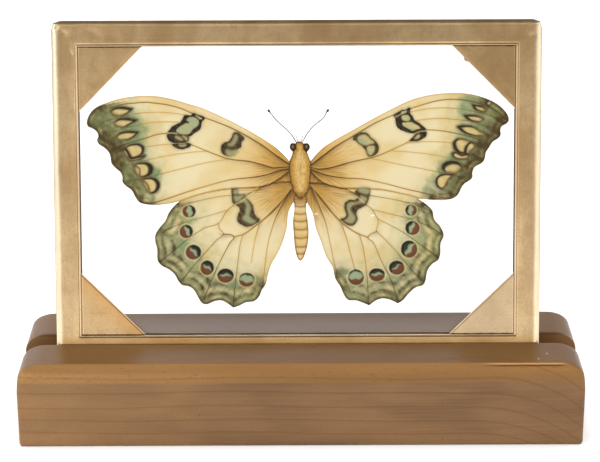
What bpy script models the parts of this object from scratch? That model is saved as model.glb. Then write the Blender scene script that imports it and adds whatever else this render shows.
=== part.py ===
"""A butterfly sheet held between two panes of glass in a brass frame that leans in a wooden stand.

Metres, +Z up. The front of the stand faces -Y. The origin is the middle of the whole object's
footprint box, on the surface that the stand rests on.
"""

import math

import bmesh
import bpy
from mathutils import Vector

MM = 0.001
GAP = 0.3 * MM  # clearance between pieces that touch

# Wooden stand
BASE_WIDTH = 196.0 * MM
BASE_DEPTH = 49.3 * MM
BASE_HEIGHT = 29.5 * MM
END_ROUND_ACROSS = 8.6 * MM  # the top ends are quarter ellipses, wider than they are high
END_ROUND_DOWN = 5.5 * MM
FRONT_ROUND = 5.1 * MM
BACK_ROUND = 1.7 * MM
CORNER_ROUND = 1.2 * MM  # upright edges
FOOT_CHAMFER = 0.6 * MM

# Groove, cut right through along X and tilted with the frame
LEAN = math.radians(15.0)
GROOVE_WIDTH = 8.6 * MM
GROOVE_BACK_EDGE = 29.6 * MM  # from the stand's front face, on its top

# Brass frame
OPENING_WIDTH = 152.4 * MM
OPENING_HEIGHT = 101.4 * MM
RAIL_WIDTH = 9.0 * MM
LIP_THICKNESS = 1.2 * MM
SLOT_DEPTH = 3.3 * MM
OUTER_ROUND = 1.4 * MM
BEAD_WIDTH = 0.7 * MM
BEAD_ROUND = 0.3 * MM
CREASE_DEPTH = 0.25 * MM
CREASE_WIDTH = 0.3 * MM
FRAME_SEAT = 6.2 * MM  # how far its front face is sunk below the stand's top, along the lean
FRAME_SHIFT = -1.0 * MM  # the frame stands a touch left of the stand's middle

# Glass, butterfly sheet and corner plates
GLASS_THICKNESS = 1.9 * MM
SHEET_THICKNESS = 0.2 * MM
PLATE_THICKNESS = 0.7 * MM
PLATE_BEVEL = 0.7 * MM
PLATE_LEGS = {  # how far each hand-cut plate reaches across and up or down
    "top_left": (21.9 * MM, 22.3 * MM),
    "top_right": (21.7 * MM, 21.6 * MM),
    "bottom_left": (22.2 * MM, 21.7 * MM),
    "bottom_right": (22.4 * MM, 21.5 * MM),
}

SLOT_WIDTH = 2.0 * GLASS_THICKNESS + SHEET_THICKNESS + 4.0 * GAP
FRAME_THICKNESS = SLOT_WIDTH + 2.0 * LIP_THICKNESS
FRAME_WIDTH = OPENING_WIDTH + 2.0 * RAIL_WIDTH
FRAME_HEIGHT = OPENING_HEIGHT + 2.0 * RAIL_WIDTH
FRAME_BACK_AT_TOP = GROOVE_BACK_EDGE - GAP / math.cos(LEAN)
SUNK_AT_BACK = FRAME_SEAT + FRAME_THICKNESS * math.tan(LEAN)
OVERALL_DEPTH = (  # to the rounded top edge of the frame's back
    FRAME_BACK_AT_TOP + (FRAME_HEIGHT - SUNK_AT_BACK - OUTER_ROUND) * math.sin(LEAN)
    - OUTER_ROUND * math.cos(LEAN) + OUTER_ROUND
)
FRONT_Y = -OVERALL_DEPTH / 2.0

ARC_STEPS = 8
SMALL_ARC_STEPS = 4

# The butterfly's outline was read by hand off a front view ruled in squares: columns count to the
# right and rows count down. These say where that grid lies on the sheet.
GRID_CENTRE = (297.4, 190.9)  # the middle of the frame's opening
GRID_COLUMN = 0.3509 * MM
GRID_ROW = 0.3523 * MM
GRID_SPREAD = 0.0000566  # lower rows of the view stood a little further off
GRID_TURN = 0.0035  # the view was turned this little

ANTENNA_HALF_WIDTH = 0.7  # in squares of the grid
CLUB_HALF_WIDTH = 1.5
EYE_SIZE = (3.4, 4.1)

LEFT_ANTENNA = ((296.3, 141.8), (292.8, 136.4), (287.0, 129.8), (277.0, 120.7), (271.6, 114.2),
                (268.3, 109.8))
RIGHT_ANTENNA = ((302.3, 141.8), (307.8, 133.1), (314.0, 125.7), (324.0, 117.4), (326.4, 112.8),
                 (328.5, 109.8))
LEFT_EYE = (293.2, 147.0)
RIGHT_EYE = (306.6, 147.2)
LEFT_THORAX = ((292.9, 152.4), (291.6, 156.5))
RIGHT_THORAX = ((307.2, 152.4), (308.8, 156.5))

LEFT_FOREWING = (
    (289.5, 161.3), (283.6, 154.7), (275.4, 147.2), (262.9, 138.9), (243.0, 127.3), (221.5, 116.5),
    (200.7, 107.4), (192.0, 104.9), (176.8, 100.3), (161.5, 96.9), (150.0, 95.7), (138.6, 96.0),
    (119.4, 98.8), (104.1, 103.8), (94.9, 108.4), (89.6, 114.5), (86.9, 122.9), (88.1, 126.7),
    (92.7, 128.6), (96.5, 131.3), (98.4, 135.9), (97.2, 140.5), (98.8, 143.9), (104.1, 147.4),
    (108.7, 152.0), (110.6, 156.6), (111.4, 162.7), (114.8, 167.3), (120.2, 171.9), (122.5, 176.5),
    (122.6, 181.8), (125.6, 185.6), (131.7, 190.2), (135.5, 197.1), (139.3, 202.1), (147.7, 204.6),
    (160.0, 204.8), (173.0, 202.9), (179.9, 200.9),
)
LEFT_HINDWING = (
    (173.9, 206.3), (169.1, 212.5), (165.3, 221.1), (159.6, 227.8), (155.3, 235.5), (155.3, 241.2),
    (157.2, 248.9), (158.1, 261.3), (162.4, 266.1), (169.1, 269.5), (174.9, 274.7), (178.7, 281.4),
    (182.5, 285.3), (188.3, 286.2), (194.0, 290.0), (197.8, 296.7), (202.6, 303.4), (206.5, 304.4),
    (215.1, 301.1), (221.8, 300.6), (227.5, 303.4), (233.3, 307.8), (240.0, 305.4), (245.7, 302.5),
    (254.3, 301.1), (259.1, 296.7), (262.0, 290.0), (265.8, 284.3), (267.7, 275.7), (271.5, 264.2),
    (278.2, 252.7), (283.0, 241.2), (286.8, 227.8), (288.8, 211.6), (293.5, 202.0),
)
RIGHT_FOREWING = (
    (310.7, 161.3), (314.9, 156.3), (323.2, 148.0), (335.6, 139.8), (352.2, 130.6), (372.9, 119.0),
    (393.6, 108.2), (411.5, 99.9), (430.6, 95.0), (449.7, 93.1), (468.9, 94.0), (482.6, 97.3),
    (495.6, 103.0), (504.1, 109.9), (508.6, 116.8), (509.0, 121.4), (506.4, 124.0), (501.8, 126.7),
    (500.6, 129.8), (500.8, 135.1), (498.7, 138.2), (493.0, 142.0), (489.5, 147.4), (486.1, 152.7),
    (484.9, 158.9), (482.6, 162.7), (475.0, 167.3), (472.7, 171.9), (472.3, 178.0), (468.9, 181.1),
    (464.3, 184.1), (461.2, 188.7), (458.1, 194.8), (453.6, 198.3), (445.9, 200.2), (438.3, 200.6),
    (429.1, 199.8), (417.6, 198.6),
)
RIGHT_HINDWING = (
    (425.5, 203.7), (432.4, 210.6), (434.4, 219.5), (440.3, 226.5), (443.8, 235.4), (440.8, 243.3),
    (440.3, 254.1), (438.3, 260.1), (432.4, 264.0), (427.5, 270.9), (425.5, 280.8), (423.5, 284.8),
    (415.6, 287.7), (408.7, 293.7), (402.7, 300.6), (397.8, 303.6), (391.9, 300.6), (384.0, 298.6),
    (377.0, 300.1), (369.1, 305.5), (362.2, 302.6), (356.3, 300.6), (348.4, 300.1), (344.4, 295.7),
    (340.5, 286.8), (335.5, 278.9), (332.6, 267.0), (326.6, 257.1), (321.7, 243.3), (315.8, 227.4),
    (312.8, 213.6), (307.3, 202.4),
)
ABDOMEN = (
    (294.4, 204.5), (293.1, 223.0), (293.7, 232.0), (294.8, 246.0), (296.2, 253.5), (298.2, 259.0),
    (300.4, 261.0), (302.8, 259.0), (305.2, 253.5), (307.4, 246.0), (308.7, 232.0), (308.0, 223.0),
    (306.4, 204.5),
)


def clear_scene():
    """Remove whatever the scene holds."""
    for old in list(bpy.data.objects):
        bpy.data.objects.remove(old, do_unlink=True)


def finish(name, colour, roughness, metallic=0.0, transmission=0.0, ior=1.5):
    """A Principled material of one colour."""
    material = bpy.data.materials.new(name)
    material.use_nodes = True
    shader = material.node_tree.nodes["Principled BSDF"]
    shader.inputs["Base Color"].default_value = (*colour, 1.0)
    shader.inputs["Roughness"].default_value = roughness
    shader.inputs["Metallic"].default_value = metallic
    shader.inputs["Transmission Weight"].default_value = transmission
    shader.inputs["IOR"].default_value = ior
    material.diffuse_color = (*colour, 1.0)
    return material


def add_object(name, bm, material=None, parent=None):
    """Make an object of a bmesh, with its normals outward."""
    bmesh.ops.recalc_face_normals(bm, faces=bm.faces)
    mesh = bpy.data.meshes.new(name)
    bm.to_mesh(mesh)
    bm.free()
    made = bpy.data.objects.new(name, mesh)
    bpy.context.scene.collection.objects.link(made)
    if material:
        mesh.materials.append(material)
    if parent:
        made.parent = parent
    return made


def shade_round(made, angle=35.0):
    """Smooth the round surfaces and keep the edges that turn by more than the angle."""
    made.data.shade_smooth()
    made.data.set_sharp_from_angle(angle=math.radians(angle))


def arc(centre, radii, start, end, steps):
    """Points along an ellipse's arc, angles in degrees."""
    points = []
    for step in range(steps + 1):
        angle = math.radians(start + (end - start) * step / steps)
        points.append((centre[0] + radii[0] * math.cos(angle), centre[1] + radii[1] * math.sin(angle)))
    return points


def prism(outline, place, travel):
    """A closed solid: the flat outline, put in space by place(a, b), carried along travel."""
    bm = bmesh.new()
    face = bm.faces.new([bm.verts.new(place(a, b)) for a, b in outline])
    carried = bmesh.ops.extrude_face_region(bm, geom=[face])["geom"]
    moved = [item for item in carried if isinstance(item, bmesh.types.BMVert)]
    bmesh.ops.translate(bm, verts=moved, vec=travel)
    return bm


def combine(target, tool, operation):
    """Add a Boolean to target and hide its tool."""
    modifier = target.modifiers.new(tool.name, "BOOLEAN")
    modifier.operation = operation
    modifier.solver = "EXACT"
    modifier.object = tool
    tool.hide_render = True
    tool.display_type = "WIRE"


def end_profile():
    """The stand seen from the front: chamfered feet and top ends of quarter ellipses."""
    half = BASE_WIDTH / 2.0
    shoulder = (half - END_ROUND_ACROSS, BASE_HEIGHT - END_ROUND_DOWN)
    right = [(half - FOOT_CHAMFER, 0.0), (half, FOOT_CHAMFER)]
    right += arc(shoulder, (END_ROUND_ACROSS, END_ROUND_DOWN), 0.0, 90.0, ARC_STEPS)
    left = [(-x, z) for x, z in reversed(right)]
    return right + left


def side_profile():
    """The stand seen from its right end: a wide round at the front and a small one at the back."""
    front = FRONT_Y
    back = FRONT_Y + BASE_DEPTH
    top = BASE_HEIGHT
    points = [(front, FOOT_CHAMFER), (front + FOOT_CHAMFER, 0.0)]
    points += [(back - FOOT_CHAMFER, 0.0), (back, FOOT_CHAMFER)]
    points += arc((back - BACK_ROUND, top - BACK_ROUND), (BACK_ROUND, BACK_ROUND),
                  0.0, 90.0, SMALL_ARC_STEPS)
    points += arc((front + FRONT_ROUND, top - FRONT_ROUND), (FRONT_ROUND, FRONT_ROUND),
                  90.0, 180.0, ARC_STEPS)
    return points


def plan_profile():
    """The stand seen from above: a rectangle with eased corners."""
    reach = BASE_WIDTH / 2.0 - CORNER_ROUND
    front = FRONT_Y + CORNER_ROUND
    back = FRONT_Y + BASE_DEPTH - CORNER_ROUND
    corners = ((reach, back, 0.0), (-reach, back, 90.0), (-reach, front, 180.0), (reach, front, 270.0))
    points = []
    for x, y, start in corners:
        points += arc((x, y), (CORNER_ROUND, CORNER_ROUND), start, start + 90.0, SMALL_ARC_STEPS)
    return points


def build_base(wood, lean):
    """The stand: three outlines carried through each other, less the tilted groove."""
    base = add_object(
        "wooden_base",
        prism(end_profile(), lambda x, z: (x, FRONT_Y - MM, z), Vector((0.0, BASE_DEPTH + 2.0 * MM, 0.0))),
        wood,
    )
    side = add_object(
        "side_shape",
        prism(side_profile(), lambda y, z: (-BASE_WIDTH, y, z), Vector((2.0 * BASE_WIDTH, 0.0, 0.0))),
    )
    plan = add_object(
        "plan_shape",
        prism(plan_profile(), lambda x, y: (x, y, -MM), Vector((0.0, 0.0, BASE_HEIGHT + 2.0 * MM))),
    )
    combine(base, side, "INTERSECT")
    combine(base, plan, "INTERSECT")
    combine(base, build_groove_shape(lean), "DIFFERENCE")
    shade_round(base)
    return base


def build_groove_shape(lean):
    """The groove's cutter: a bar square to the frame, a little wider than it at the front."""
    back = GAP
    front = back - GROOVE_WIDTH
    floor = -GAP
    top = BASE_HEIGHT
    outline = ((front, floor), (back, floor), (back, top), (front, top))
    return add_object(
        "groove_shape",
        prism(outline, lambda y, z: (-BASE_WIDTH, y, z), Vector((2.0 * BASE_WIDTH, 0.0, 0.0))),
        parent=lean,
    )


def add_lean():
    """The empty that carries the frame: on the middle of its lower back edge, leaning backward.

    In its space +X runs along the frame, +Z up the frame, and the frame's back face is at Y = 0
    with its front face at Y = -FRAME_THICKNESS.
    """
    lean = bpy.data.objects.new("frame_lean", None)
    bpy.context.scene.collection.objects.link(lean)
    lean.location = (
        FRAME_SHIFT,
        FRONT_Y + FRAME_BACK_AT_TOP - SUNK_AT_BACK * math.sin(LEAN),
        BASE_HEIGHT - SUNK_AT_BACK * math.cos(LEAN),
    )
    lean.rotation_euler = (-LEAN, 0.0, 0.0)
    return lean


def rail_section():
    """The rail's section, from the slot's back corner out round the rail, as (out, depth).

    out is measured outward from the opening's edge, and depth from the back face to the front.
    """
    slot_back = LIP_THICKNESS
    slot_front = LIP_THICKNESS + SLOT_WIDTH
    front = FRAME_THICKNESS
    bead_start = BEAD_WIDTH - BEAD_ROUND
    face_start = BEAD_WIDTH + CREASE_WIDTH
    bead_back = arc((BEAD_ROUND, BEAD_ROUND), (BEAD_ROUND, BEAD_ROUND), 180.0, 270.0, SMALL_ARC_STEPS)
    bead_front = arc((BEAD_ROUND, front - BEAD_ROUND), (BEAD_ROUND, BEAD_ROUND), 90.0, 180.0,
                     SMALL_ARC_STEPS)
    outer_back = arc((RAIL_WIDTH - OUTER_ROUND, OUTER_ROUND), (OUTER_ROUND, OUTER_ROUND),
                     270.0, 360.0, ARC_STEPS)
    outer_front = arc((RAIL_WIDTH - OUTER_ROUND, front - OUTER_ROUND), (OUTER_ROUND, OUTER_ROUND),
                      0.0, 90.0, ARC_STEPS)
    section = [(SLOT_DEPTH, slot_back), (0.0, slot_back)]
    section += bead_back
    section += [(bead_start, 0.0), (BEAD_WIDTH, CREASE_DEPTH), (face_start, 0.0)]
    section += outer_back + outer_front
    section += [(face_start, front), (BEAD_WIDTH, front - CREASE_DEPTH), (bead_start, front)]
    section += bead_front
    section += [(0.0, slot_front), (SLOT_DEPTH, slot_front)]
    return section


def build_frame(brass, lean):
    """The frame: one section swept round the opening, mitred at its four corners."""
    bm = bmesh.new()
    middle = FRAME_HEIGHT / 2.0
    rings = []
    for side, rise in ((1, 1), (-1, 1), (-1, -1), (1, -1)):
        ring = []
        for out, depth in rail_section():
            x = side * (OPENING_WIDTH / 2.0 + out)
            z = middle + rise * (OPENING_HEIGHT / 2.0 + out)
            ring.append(bm.verts.new((x, -depth, z)))
        rings.append(ring)
    for index, ring in enumerate(rings):
        following = rings[(index + 1) % len(rings)]
        for step in range(len(ring)):
            ahead = (step + 1) % len(ring)
            bm.faces.new((ring[step], following[step], following[ahead], ring[ahead]))
    frame = add_object("brass_frame", bm, brass, lean)
    shade_round(frame, 50.0)
    return frame


def build_glass(name, back, glass, lean):
    """One pane: a plain slab whose edges lie in the frame's slot; back is its back face's depth."""
    reach = SLOT_DEPTH - GAP
    across = OPENING_WIDTH / 2.0 + reach
    low = RAIL_WIDTH - reach
    high = FRAME_HEIGHT - RAIL_WIDTH + reach
    outline = ((-across, low), (across, low), (across, high), (-across, high))
    bm = prism(outline, lambda x, z: (x, -back, z), Vector((0.0, -GLASS_THICKNESS, 0.0)))
    return add_object(name, bm, glass, lean)


def build_corner_plate(corner, legs, brass, lean):
    """A right triangle of sheet brass in one corner of the opening, bevelled along its long side."""
    rise, side = corner.split("_")
    sign_x = -1 if side == "left" else 1
    sign_z = 1 if rise == "top" else -1
    corner_x = sign_x * (OPENING_WIDTH / 2.0 - GAP)
    corner_z = FRAME_HEIGHT / 2.0 + sign_z * (OPENING_HEIGHT / 2.0 - GAP)
    back = LIP_THICKNESS + SLOT_WIDTH
    front = back + PLATE_THICKNESS
    edge = back + PLATE_THICKNESS / 3.0
    shorter = PLATE_BEVEL * math.sqrt(2.0)
    bm = bmesh.new()
    levels = []
    for depth, less in ((back, 0.0), (edge, 0.0), (front, shorter)):
        across, up = legs[0] - less, legs[1] - less
        spots = ((0.0, 0.0), (across, 0.0), (0.0, up))
        levels.append([
            bm.verts.new((corner_x - sign_x * a, -depth, corner_z - sign_z * b)) for a, b in spots
        ])
    bm.faces.new(levels[0])
    bm.faces.new(levels[-1])
    for lower, upper in zip(levels, levels[1:]):
        for step in range(3):
            ahead = (step + 1) % 3
            bm.faces.new((lower[step], lower[ahead], upper[ahead], upper[step]))
    return add_object(f"corner_plate_{corner}", bm, brass, lean)


def strip(path):
    """An antenna's outline: out along one side of its path to the club, and back along the other."""
    one_side = []
    other_side = []
    last = len(path) - 1
    for index, point in enumerate(path):
        before = Vector(path[max(index - 1, 0)])
        after = Vector(path[min(index + 1, last)])
        along = (after - before).normalized()
        across = Vector((along.y, -along.x))
        half = CLUB_HALF_WIDTH if index == last - 1 else ANTENNA_HALF_WIDTH
        one_side.append(tuple(Vector(point) - across * half))
        other_side.append(tuple(Vector(point) + across * half))
    return one_side + list(reversed(other_side))


def butterfly_outline():
    """The butterfly's whole outline in grid squares: down its left side and up its right side."""
    points = strip(LEFT_ANTENNA)
    points += arc(LEFT_EYE, EYE_SIZE, 250.0, 115.0, ARC_STEPS)
    points += LEFT_THORAX + LEFT_FOREWING + LEFT_HINDWING
    points += ABDOMEN
    points += reversed(RIGHT_FOREWING + RIGHT_HINDWING)
    points += reversed(RIGHT_THORAX)
    points += arc(RIGHT_EYE, EYE_SIZE, 65.0, -70.0, ARC_STEPS)
    points += strip(RIGHT_ANTENNA)
    return points


def on_sheet(column, row):
    """A grid point as metres right of and above the middle of the opening."""
    across = column - GRID_CENTRE[0]
    down = row - GRID_CENTRE[1]
    level_across = across - GRID_TURN * down
    level_down = down + GRID_TURN * across
    spread = 1.0 + GRID_SPREAD * level_down
    return level_across * GRID_COLUMN * spread, -level_down * GRID_ROW * spread


def build_butterfly(paper, lean):
    """The butterfly: one thin flat sheet, cut to the outline, between the panes."""
    outline = [on_sheet(column, row) for column, row in butterfly_outline()]
    back = LIP_THICKNESS + GAP + GLASS_THICKNESS + GAP
    middle = FRAME_HEIGHT / 2.0
    bm = prism(outline, lambda x, z: (x, -back, middle + z), Vector((0.0, -SHEET_THICKNESS, 0.0)))
    return add_object("butterfly", bm, paper, lean)


def main():
    """Build every piece."""
    clear_scene()
    wood = finish("oiled_wood", (0.33, 0.18, 0.08), 0.5)
    brass = finish("brushed_brass", (0.72, 0.52, 0.27), 0.33, metallic=1.0)
    glass = finish("clear_glass", (0.96, 0.98, 0.98), 0.02, transmission=1.0)
    paper = finish("butterfly_paper", (0.76, 0.66, 0.38), 0.6)

    lean = add_lean()
    build_base(wood, lean)
    build_frame(brass, lean)
    back_pane = LIP_THICKNESS + GAP
    front_pane = back_pane + GLASS_THICKNESS + SHEET_THICKNESS + 2.0 * GAP
    build_glass("back_glass", back_pane, glass, lean)
    build_glass("front_glass", front_pane, glass, lean)
    for corner, legs in PLATE_LEGS.items():
        build_corner_plate(corner, legs, brass, lean)
    build_butterfly(paper, lean)


main()
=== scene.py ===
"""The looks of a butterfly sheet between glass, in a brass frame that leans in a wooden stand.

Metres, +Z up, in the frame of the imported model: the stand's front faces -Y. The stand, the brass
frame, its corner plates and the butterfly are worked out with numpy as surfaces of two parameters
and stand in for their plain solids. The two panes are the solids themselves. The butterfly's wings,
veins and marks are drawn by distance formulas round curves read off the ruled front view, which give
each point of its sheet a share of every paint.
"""

import logging
import math
from dataclasses import dataclass
from enum import Enum
from typing import Any, Callable, Sequence

import bmesh
import bpy
import numpy as np
from mathutils import Euler, Matrix, Vector
from mathutils.geometry import delaunay_2d_cdt


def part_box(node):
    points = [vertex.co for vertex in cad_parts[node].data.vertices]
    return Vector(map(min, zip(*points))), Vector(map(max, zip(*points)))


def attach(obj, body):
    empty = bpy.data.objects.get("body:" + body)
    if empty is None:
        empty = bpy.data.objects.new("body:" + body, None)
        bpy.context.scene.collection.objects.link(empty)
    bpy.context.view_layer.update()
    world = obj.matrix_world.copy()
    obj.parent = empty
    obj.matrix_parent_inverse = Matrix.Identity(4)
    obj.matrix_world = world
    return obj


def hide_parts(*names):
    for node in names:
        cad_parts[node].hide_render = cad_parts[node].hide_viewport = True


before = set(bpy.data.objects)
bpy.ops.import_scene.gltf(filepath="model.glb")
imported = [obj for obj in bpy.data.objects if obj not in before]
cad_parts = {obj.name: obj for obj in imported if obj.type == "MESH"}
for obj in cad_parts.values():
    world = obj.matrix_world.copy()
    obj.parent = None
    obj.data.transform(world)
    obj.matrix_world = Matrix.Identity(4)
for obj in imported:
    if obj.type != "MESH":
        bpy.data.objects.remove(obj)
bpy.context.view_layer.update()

LOG = logging.getLogger("framed_butterfly")
MM = 0.001
ROOT = "root"

Array = np.ndarray
Triple = tuple[float, float, float]
Colour = Triple
Point = tuple[float, float]
Path = Sequence[float]  # a curve's points: across, down, across, down and so on
Piece, Material, Socket = bpy.types.Object, bpy.types.Material, bpy.types.NodeSocket


# --- Curves and fields worked out as whole arrays


def srgb(red: int, green: int, blue: int) -> Colour:
    """A colour as a screen shows it, 0 to 255, turned into linear light."""
    def linear(part: float) -> float:
        """Undo the screen's curve for one channel, 0 to 1."""
        return part / 12.92 if part <= 0.04045 else ((part + 0.055) / 1.055) ** 2.4
    return linear(red / 255), linear(green / 255), linear(blue / 255)


def ease(values: Array, low: float, high: float) -> Array:
    """Go smoothly from 0 at low to 1 at high: t * t * (3 - 2 t) of the clipped fraction t."""
    fraction = np.clip((values - low) / (high - low), 0, 1)
    return fraction * fraction * (3 - 2 * fraction)


def fall(values: Array, low: float, high: float) -> Array:
    """Go smoothly from 1 at low to 0 at high."""
    return 1 - ease(values, low, high)


def bell(values: Array, width: float, middle: float = 0) -> Array:
    """A round hump that is 1 at its middle: exp(-u * u), u being the way from there over its width."""
    return np.exp(-(((values - middle) / width) ** 2))


def ringed(outline: Array) -> Array:
    """A closed outline as a path that ends at its own first point."""
    return np.vstack([outline, outline[:1]])


def normals(line: Array) -> Array:
    """The unit direction to one side of a line at each of its points."""
    along = np.gradient(line, axis=0)
    along /= np.linalg.norm(along, axis=1, keepdims=True)
    return np.stack([-along[:, 1], along[:, 0]], 1)


def ripple(*inputs: Array, seed: float = 0) -> Array:
    """A smooth irregular wave between about -1 and 1: a sum of sines of mixed pitch and direction."""
    total = np.zeros(np.broadcast(*inputs).shape)
    for turn, pitch in enumerate((1, 1.83, 2.71, 4.37)):
        phase = seed * (turn + 1.3) + 2.1 * turn
        for place, values in enumerate(inputs):
            phase = phase + pitch * values * math.cos(turn * 1.7 + place * 2.3 + seed)
        total = total + np.sin(phase) / (1 + 0.6 * turn)
    return total / 2.4


def round_curve(points: Path | Array, step: float = 0.8, closed: bool = False, corner: float = 180) -> Array:
    """A smooth curve through points, cut into pieces of about one length.

    Each stretch is a cubic Hermite curve. Its end tangents point from the neighbour before to the
    neighbour after and are as long as the stretch, except at corners, where they run along it.

    Args:
        points: the points that the curve passes through.
        step: the spacing of the points that are returned.
        closed: whether the curve returns to its start.
        corner: the turn in degrees from which a point stays sharp.
    """
    knots = np.asarray(points, float).reshape(-1, 2)
    if closed:
        knots = ringed(knots)
    chords = np.diff(knots, axis=0)
    lengths = np.linalg.norm(chords, axis=1, keepdims=True)
    along = chords / lengths
    before = np.vstack([along[-1:] if closed else along[:1], along])
    after = np.vstack([along, along[:1] if closed else along[-1:]])
    middle = before + after
    middle /= np.maximum(np.linalg.norm(middle, axis=1, keepdims=True), 1e-9)
    sharp = np.sum(before * after, axis=1, keepdims=True) < math.cos(math.radians(corner))
    leave = np.where(sharp, after, middle)[:-1] * lengths
    arrive = np.where(sharp, before, middle)[1:] * lengths
    t = np.linspace(0, 1, 16, endpoint=False)[None, :, None]
    start, end = knots[:-1, None, :], knots[1:, None, :]
    curve = (
        start * (2 * t**3 - 3 * t**2 + 1) + leave[:, None, :] * (t**3 - 2 * t**2 + t)
        + end * (3 * t**2 - 2 * t**3) + arrive[:, None, :] * (t**3 - t**2)
    ).reshape(-1, knots.shape[1])
    curve = np.vstack([curve, knots[-1:]])
    walked = np.concatenate([[0], np.cumsum(np.linalg.norm(np.diff(curve, axis=0), axis=1))])
    count = max(2, round(walked[-1] / step))
    stops = np.linspace(0, walked[-1], count + 1)
    if closed:
        stops = stops[:-1]
    return np.stack([np.interp(stops, walked, curve[:, axis]) for axis in range(knots.shape[1])], 1)


@dataclass(frozen=True)
class Nearness:
    """How a set of places lies to a path: distance, fraction of its length, and 1 below or -1 above it."""

    distance: Array
    along: Array
    below: Array


def from_path(places: Array, path: Array, reach: float = 12) -> Nearness:
    """Compare each place with the nearest stretch of an open path.

    Args:
        places: an (n, 2) array, rows running down.
        path: an (m, 2) array.
        reach: places further than this outside the path's box are given this distance.
    """
    found = np.zeros((3, len(places)))
    found[0] = reach
    near = np.flatnonzero(np.all((places > path.min(0) - reach) & (places < path.max(0) + reach), axis=1))
    local, best = places[near], found[:, near]
    chords = np.diff(path, axis=0)
    lengths = np.linalg.norm(chords, axis=1)
    starts = np.concatenate([[0], np.cumsum(lengths)])
    for start, chord, length, walked in zip(path, chords, lengths, starts):
        offset = local - start
        t = np.clip(offset @ chord / max(length * length, 1e-12), 0, 1)
        gap = np.hypot(offset[:, 0] - t * chord[0], offset[:, 1] - t * chord[1])
        turn = (chord[0] * offset[:, 1] - chord[1] * offset[:, 0]) * np.sign(chord[0])
        here = np.stack([gap, (walked + t * length) / starts[-1], np.sign(turn)])
        best = np.where(gap < best[0], here, best)
    found[:, near] = best
    return Nearness(*found)


def inside(places: Array, outline: Array) -> Array:
    """Whether each place is inside a closed outline: a ray to its right crosses it oddly often."""
    crossings = np.zeros(len(places), int)
    for (ax, ay), (bx, by) in zip(outline, np.roll(outline, -1, axis=0)):
        spans = (places[:, 1] < ay) != (places[:, 1] < by)
        rise = by - ay if by != ay else 1e-12
        crossings += spans & (places[:, 0] < ax + (places[:, 1] - ay) * (bx - ax) / rise)
    return crossings % 2 == 1


def depth(places: Array, outline: Array, reach: float = 12) -> Array:
    """How deep each place lies inside a closed outline, negative outside it."""
    near = np.flatnonzero(np.all((places >= outline.min(0)) & (places <= outline.max(0)), axis=1))
    sign = np.full(len(places), -1)
    sign[near[inside(places[near], outline)]] = 1
    return from_path(places, ringed(outline), reach).distance * sign


# --- Meshes


def grid_quads(rows: int, columns: int, ring: bool = False) -> Array:
    """The quads between neighbours of a rows x columns grid, whose columns may close into a ring."""
    across = columns if ring else columns - 1
    row, column = np.meshgrid(np.arange(rows - 1), np.arange(across), indexing="ij")
    ahead = (column + 1) % columns
    corners = (
        row * columns + column, row * columns + ahead,
        (row + 1) * columns + ahead, (row + 1) * columns + column,
    )
    return np.stack(corners, -1).reshape(-1, 4)


def new_object(name: str, data: Any) -> Piece:
    """An object of some data, linked into the scene."""
    made = bpy.data.objects.new(name, data)
    bpy.context.scene.collection.objects.link(made)
    return made


def make_piece(
    name: str, points: Array, faces: Sequence[Sequence[int]], sharp: float, weld: float = 0
) -> Piece:
    """Make one object of points and faces, smooth but for its sharp edges, with its faces outward.

    Args:
        name: the piece's name.
        points: an (n, 3) array in metres, in the row frame.
        faces: lists of point numbers.
        sharp: the turn in degrees from which an edge stays sharp.
        weld: points closer than this are joined.

    Returns:
        The object, at the origin, with its place in its mesh.
    """
    mesh = bpy.data.meshes.new(name)
    mesh.from_pydata(points.tolist(), [], faces)
    shape = bmesh.new()
    shape.from_mesh(mesh)
    if weld:
        bmesh.ops.remove_doubles(shape, verts=shape.verts, dist=weld)
    if shape.calc_volume(signed=True) < 0:
        bmesh.ops.reverse_faces(shape, faces=shape.faces)
    shape.to_mesh(mesh)
    shape.free()
    mesh.shade_smooth()
    mesh.set_sharp_from_angle(angle=math.radians(sharp))
    return new_object(name, mesh)


def mesh_points(mesh: bpy.types.Mesh) -> Array:
    """A mesh's points as an (n, 3) array."""
    points = np.empty(len(mesh.vertices) * 3, np.float32)
    mesh.vertices.foreach_get("co", points)
    return points.reshape(-1, 3)


def set_attributes(piece: Piece, **named: Array) -> None:
    """Store numbers at the points of a piece's mesh, an attribute for each name."""
    for name, values in named.items():
        attribute = piece.data.attributes.new(name, "FLOAT", "POINT")
        attribute.data.foreach_set("value", np.ravel(values).astype(np.float32))


def settle(piece: Piece, node: str, material: Material) -> None:
    """Dress a piece, let it ride on the object's one body, and let it stand for a node."""
    piece.data.materials.append(material)
    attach(piece, ROOT)
    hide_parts(node)
    LOG.info("%s stands for %s with %d points", piece.name, node, len(piece.data.vertices))


# --- Shader maths


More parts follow.
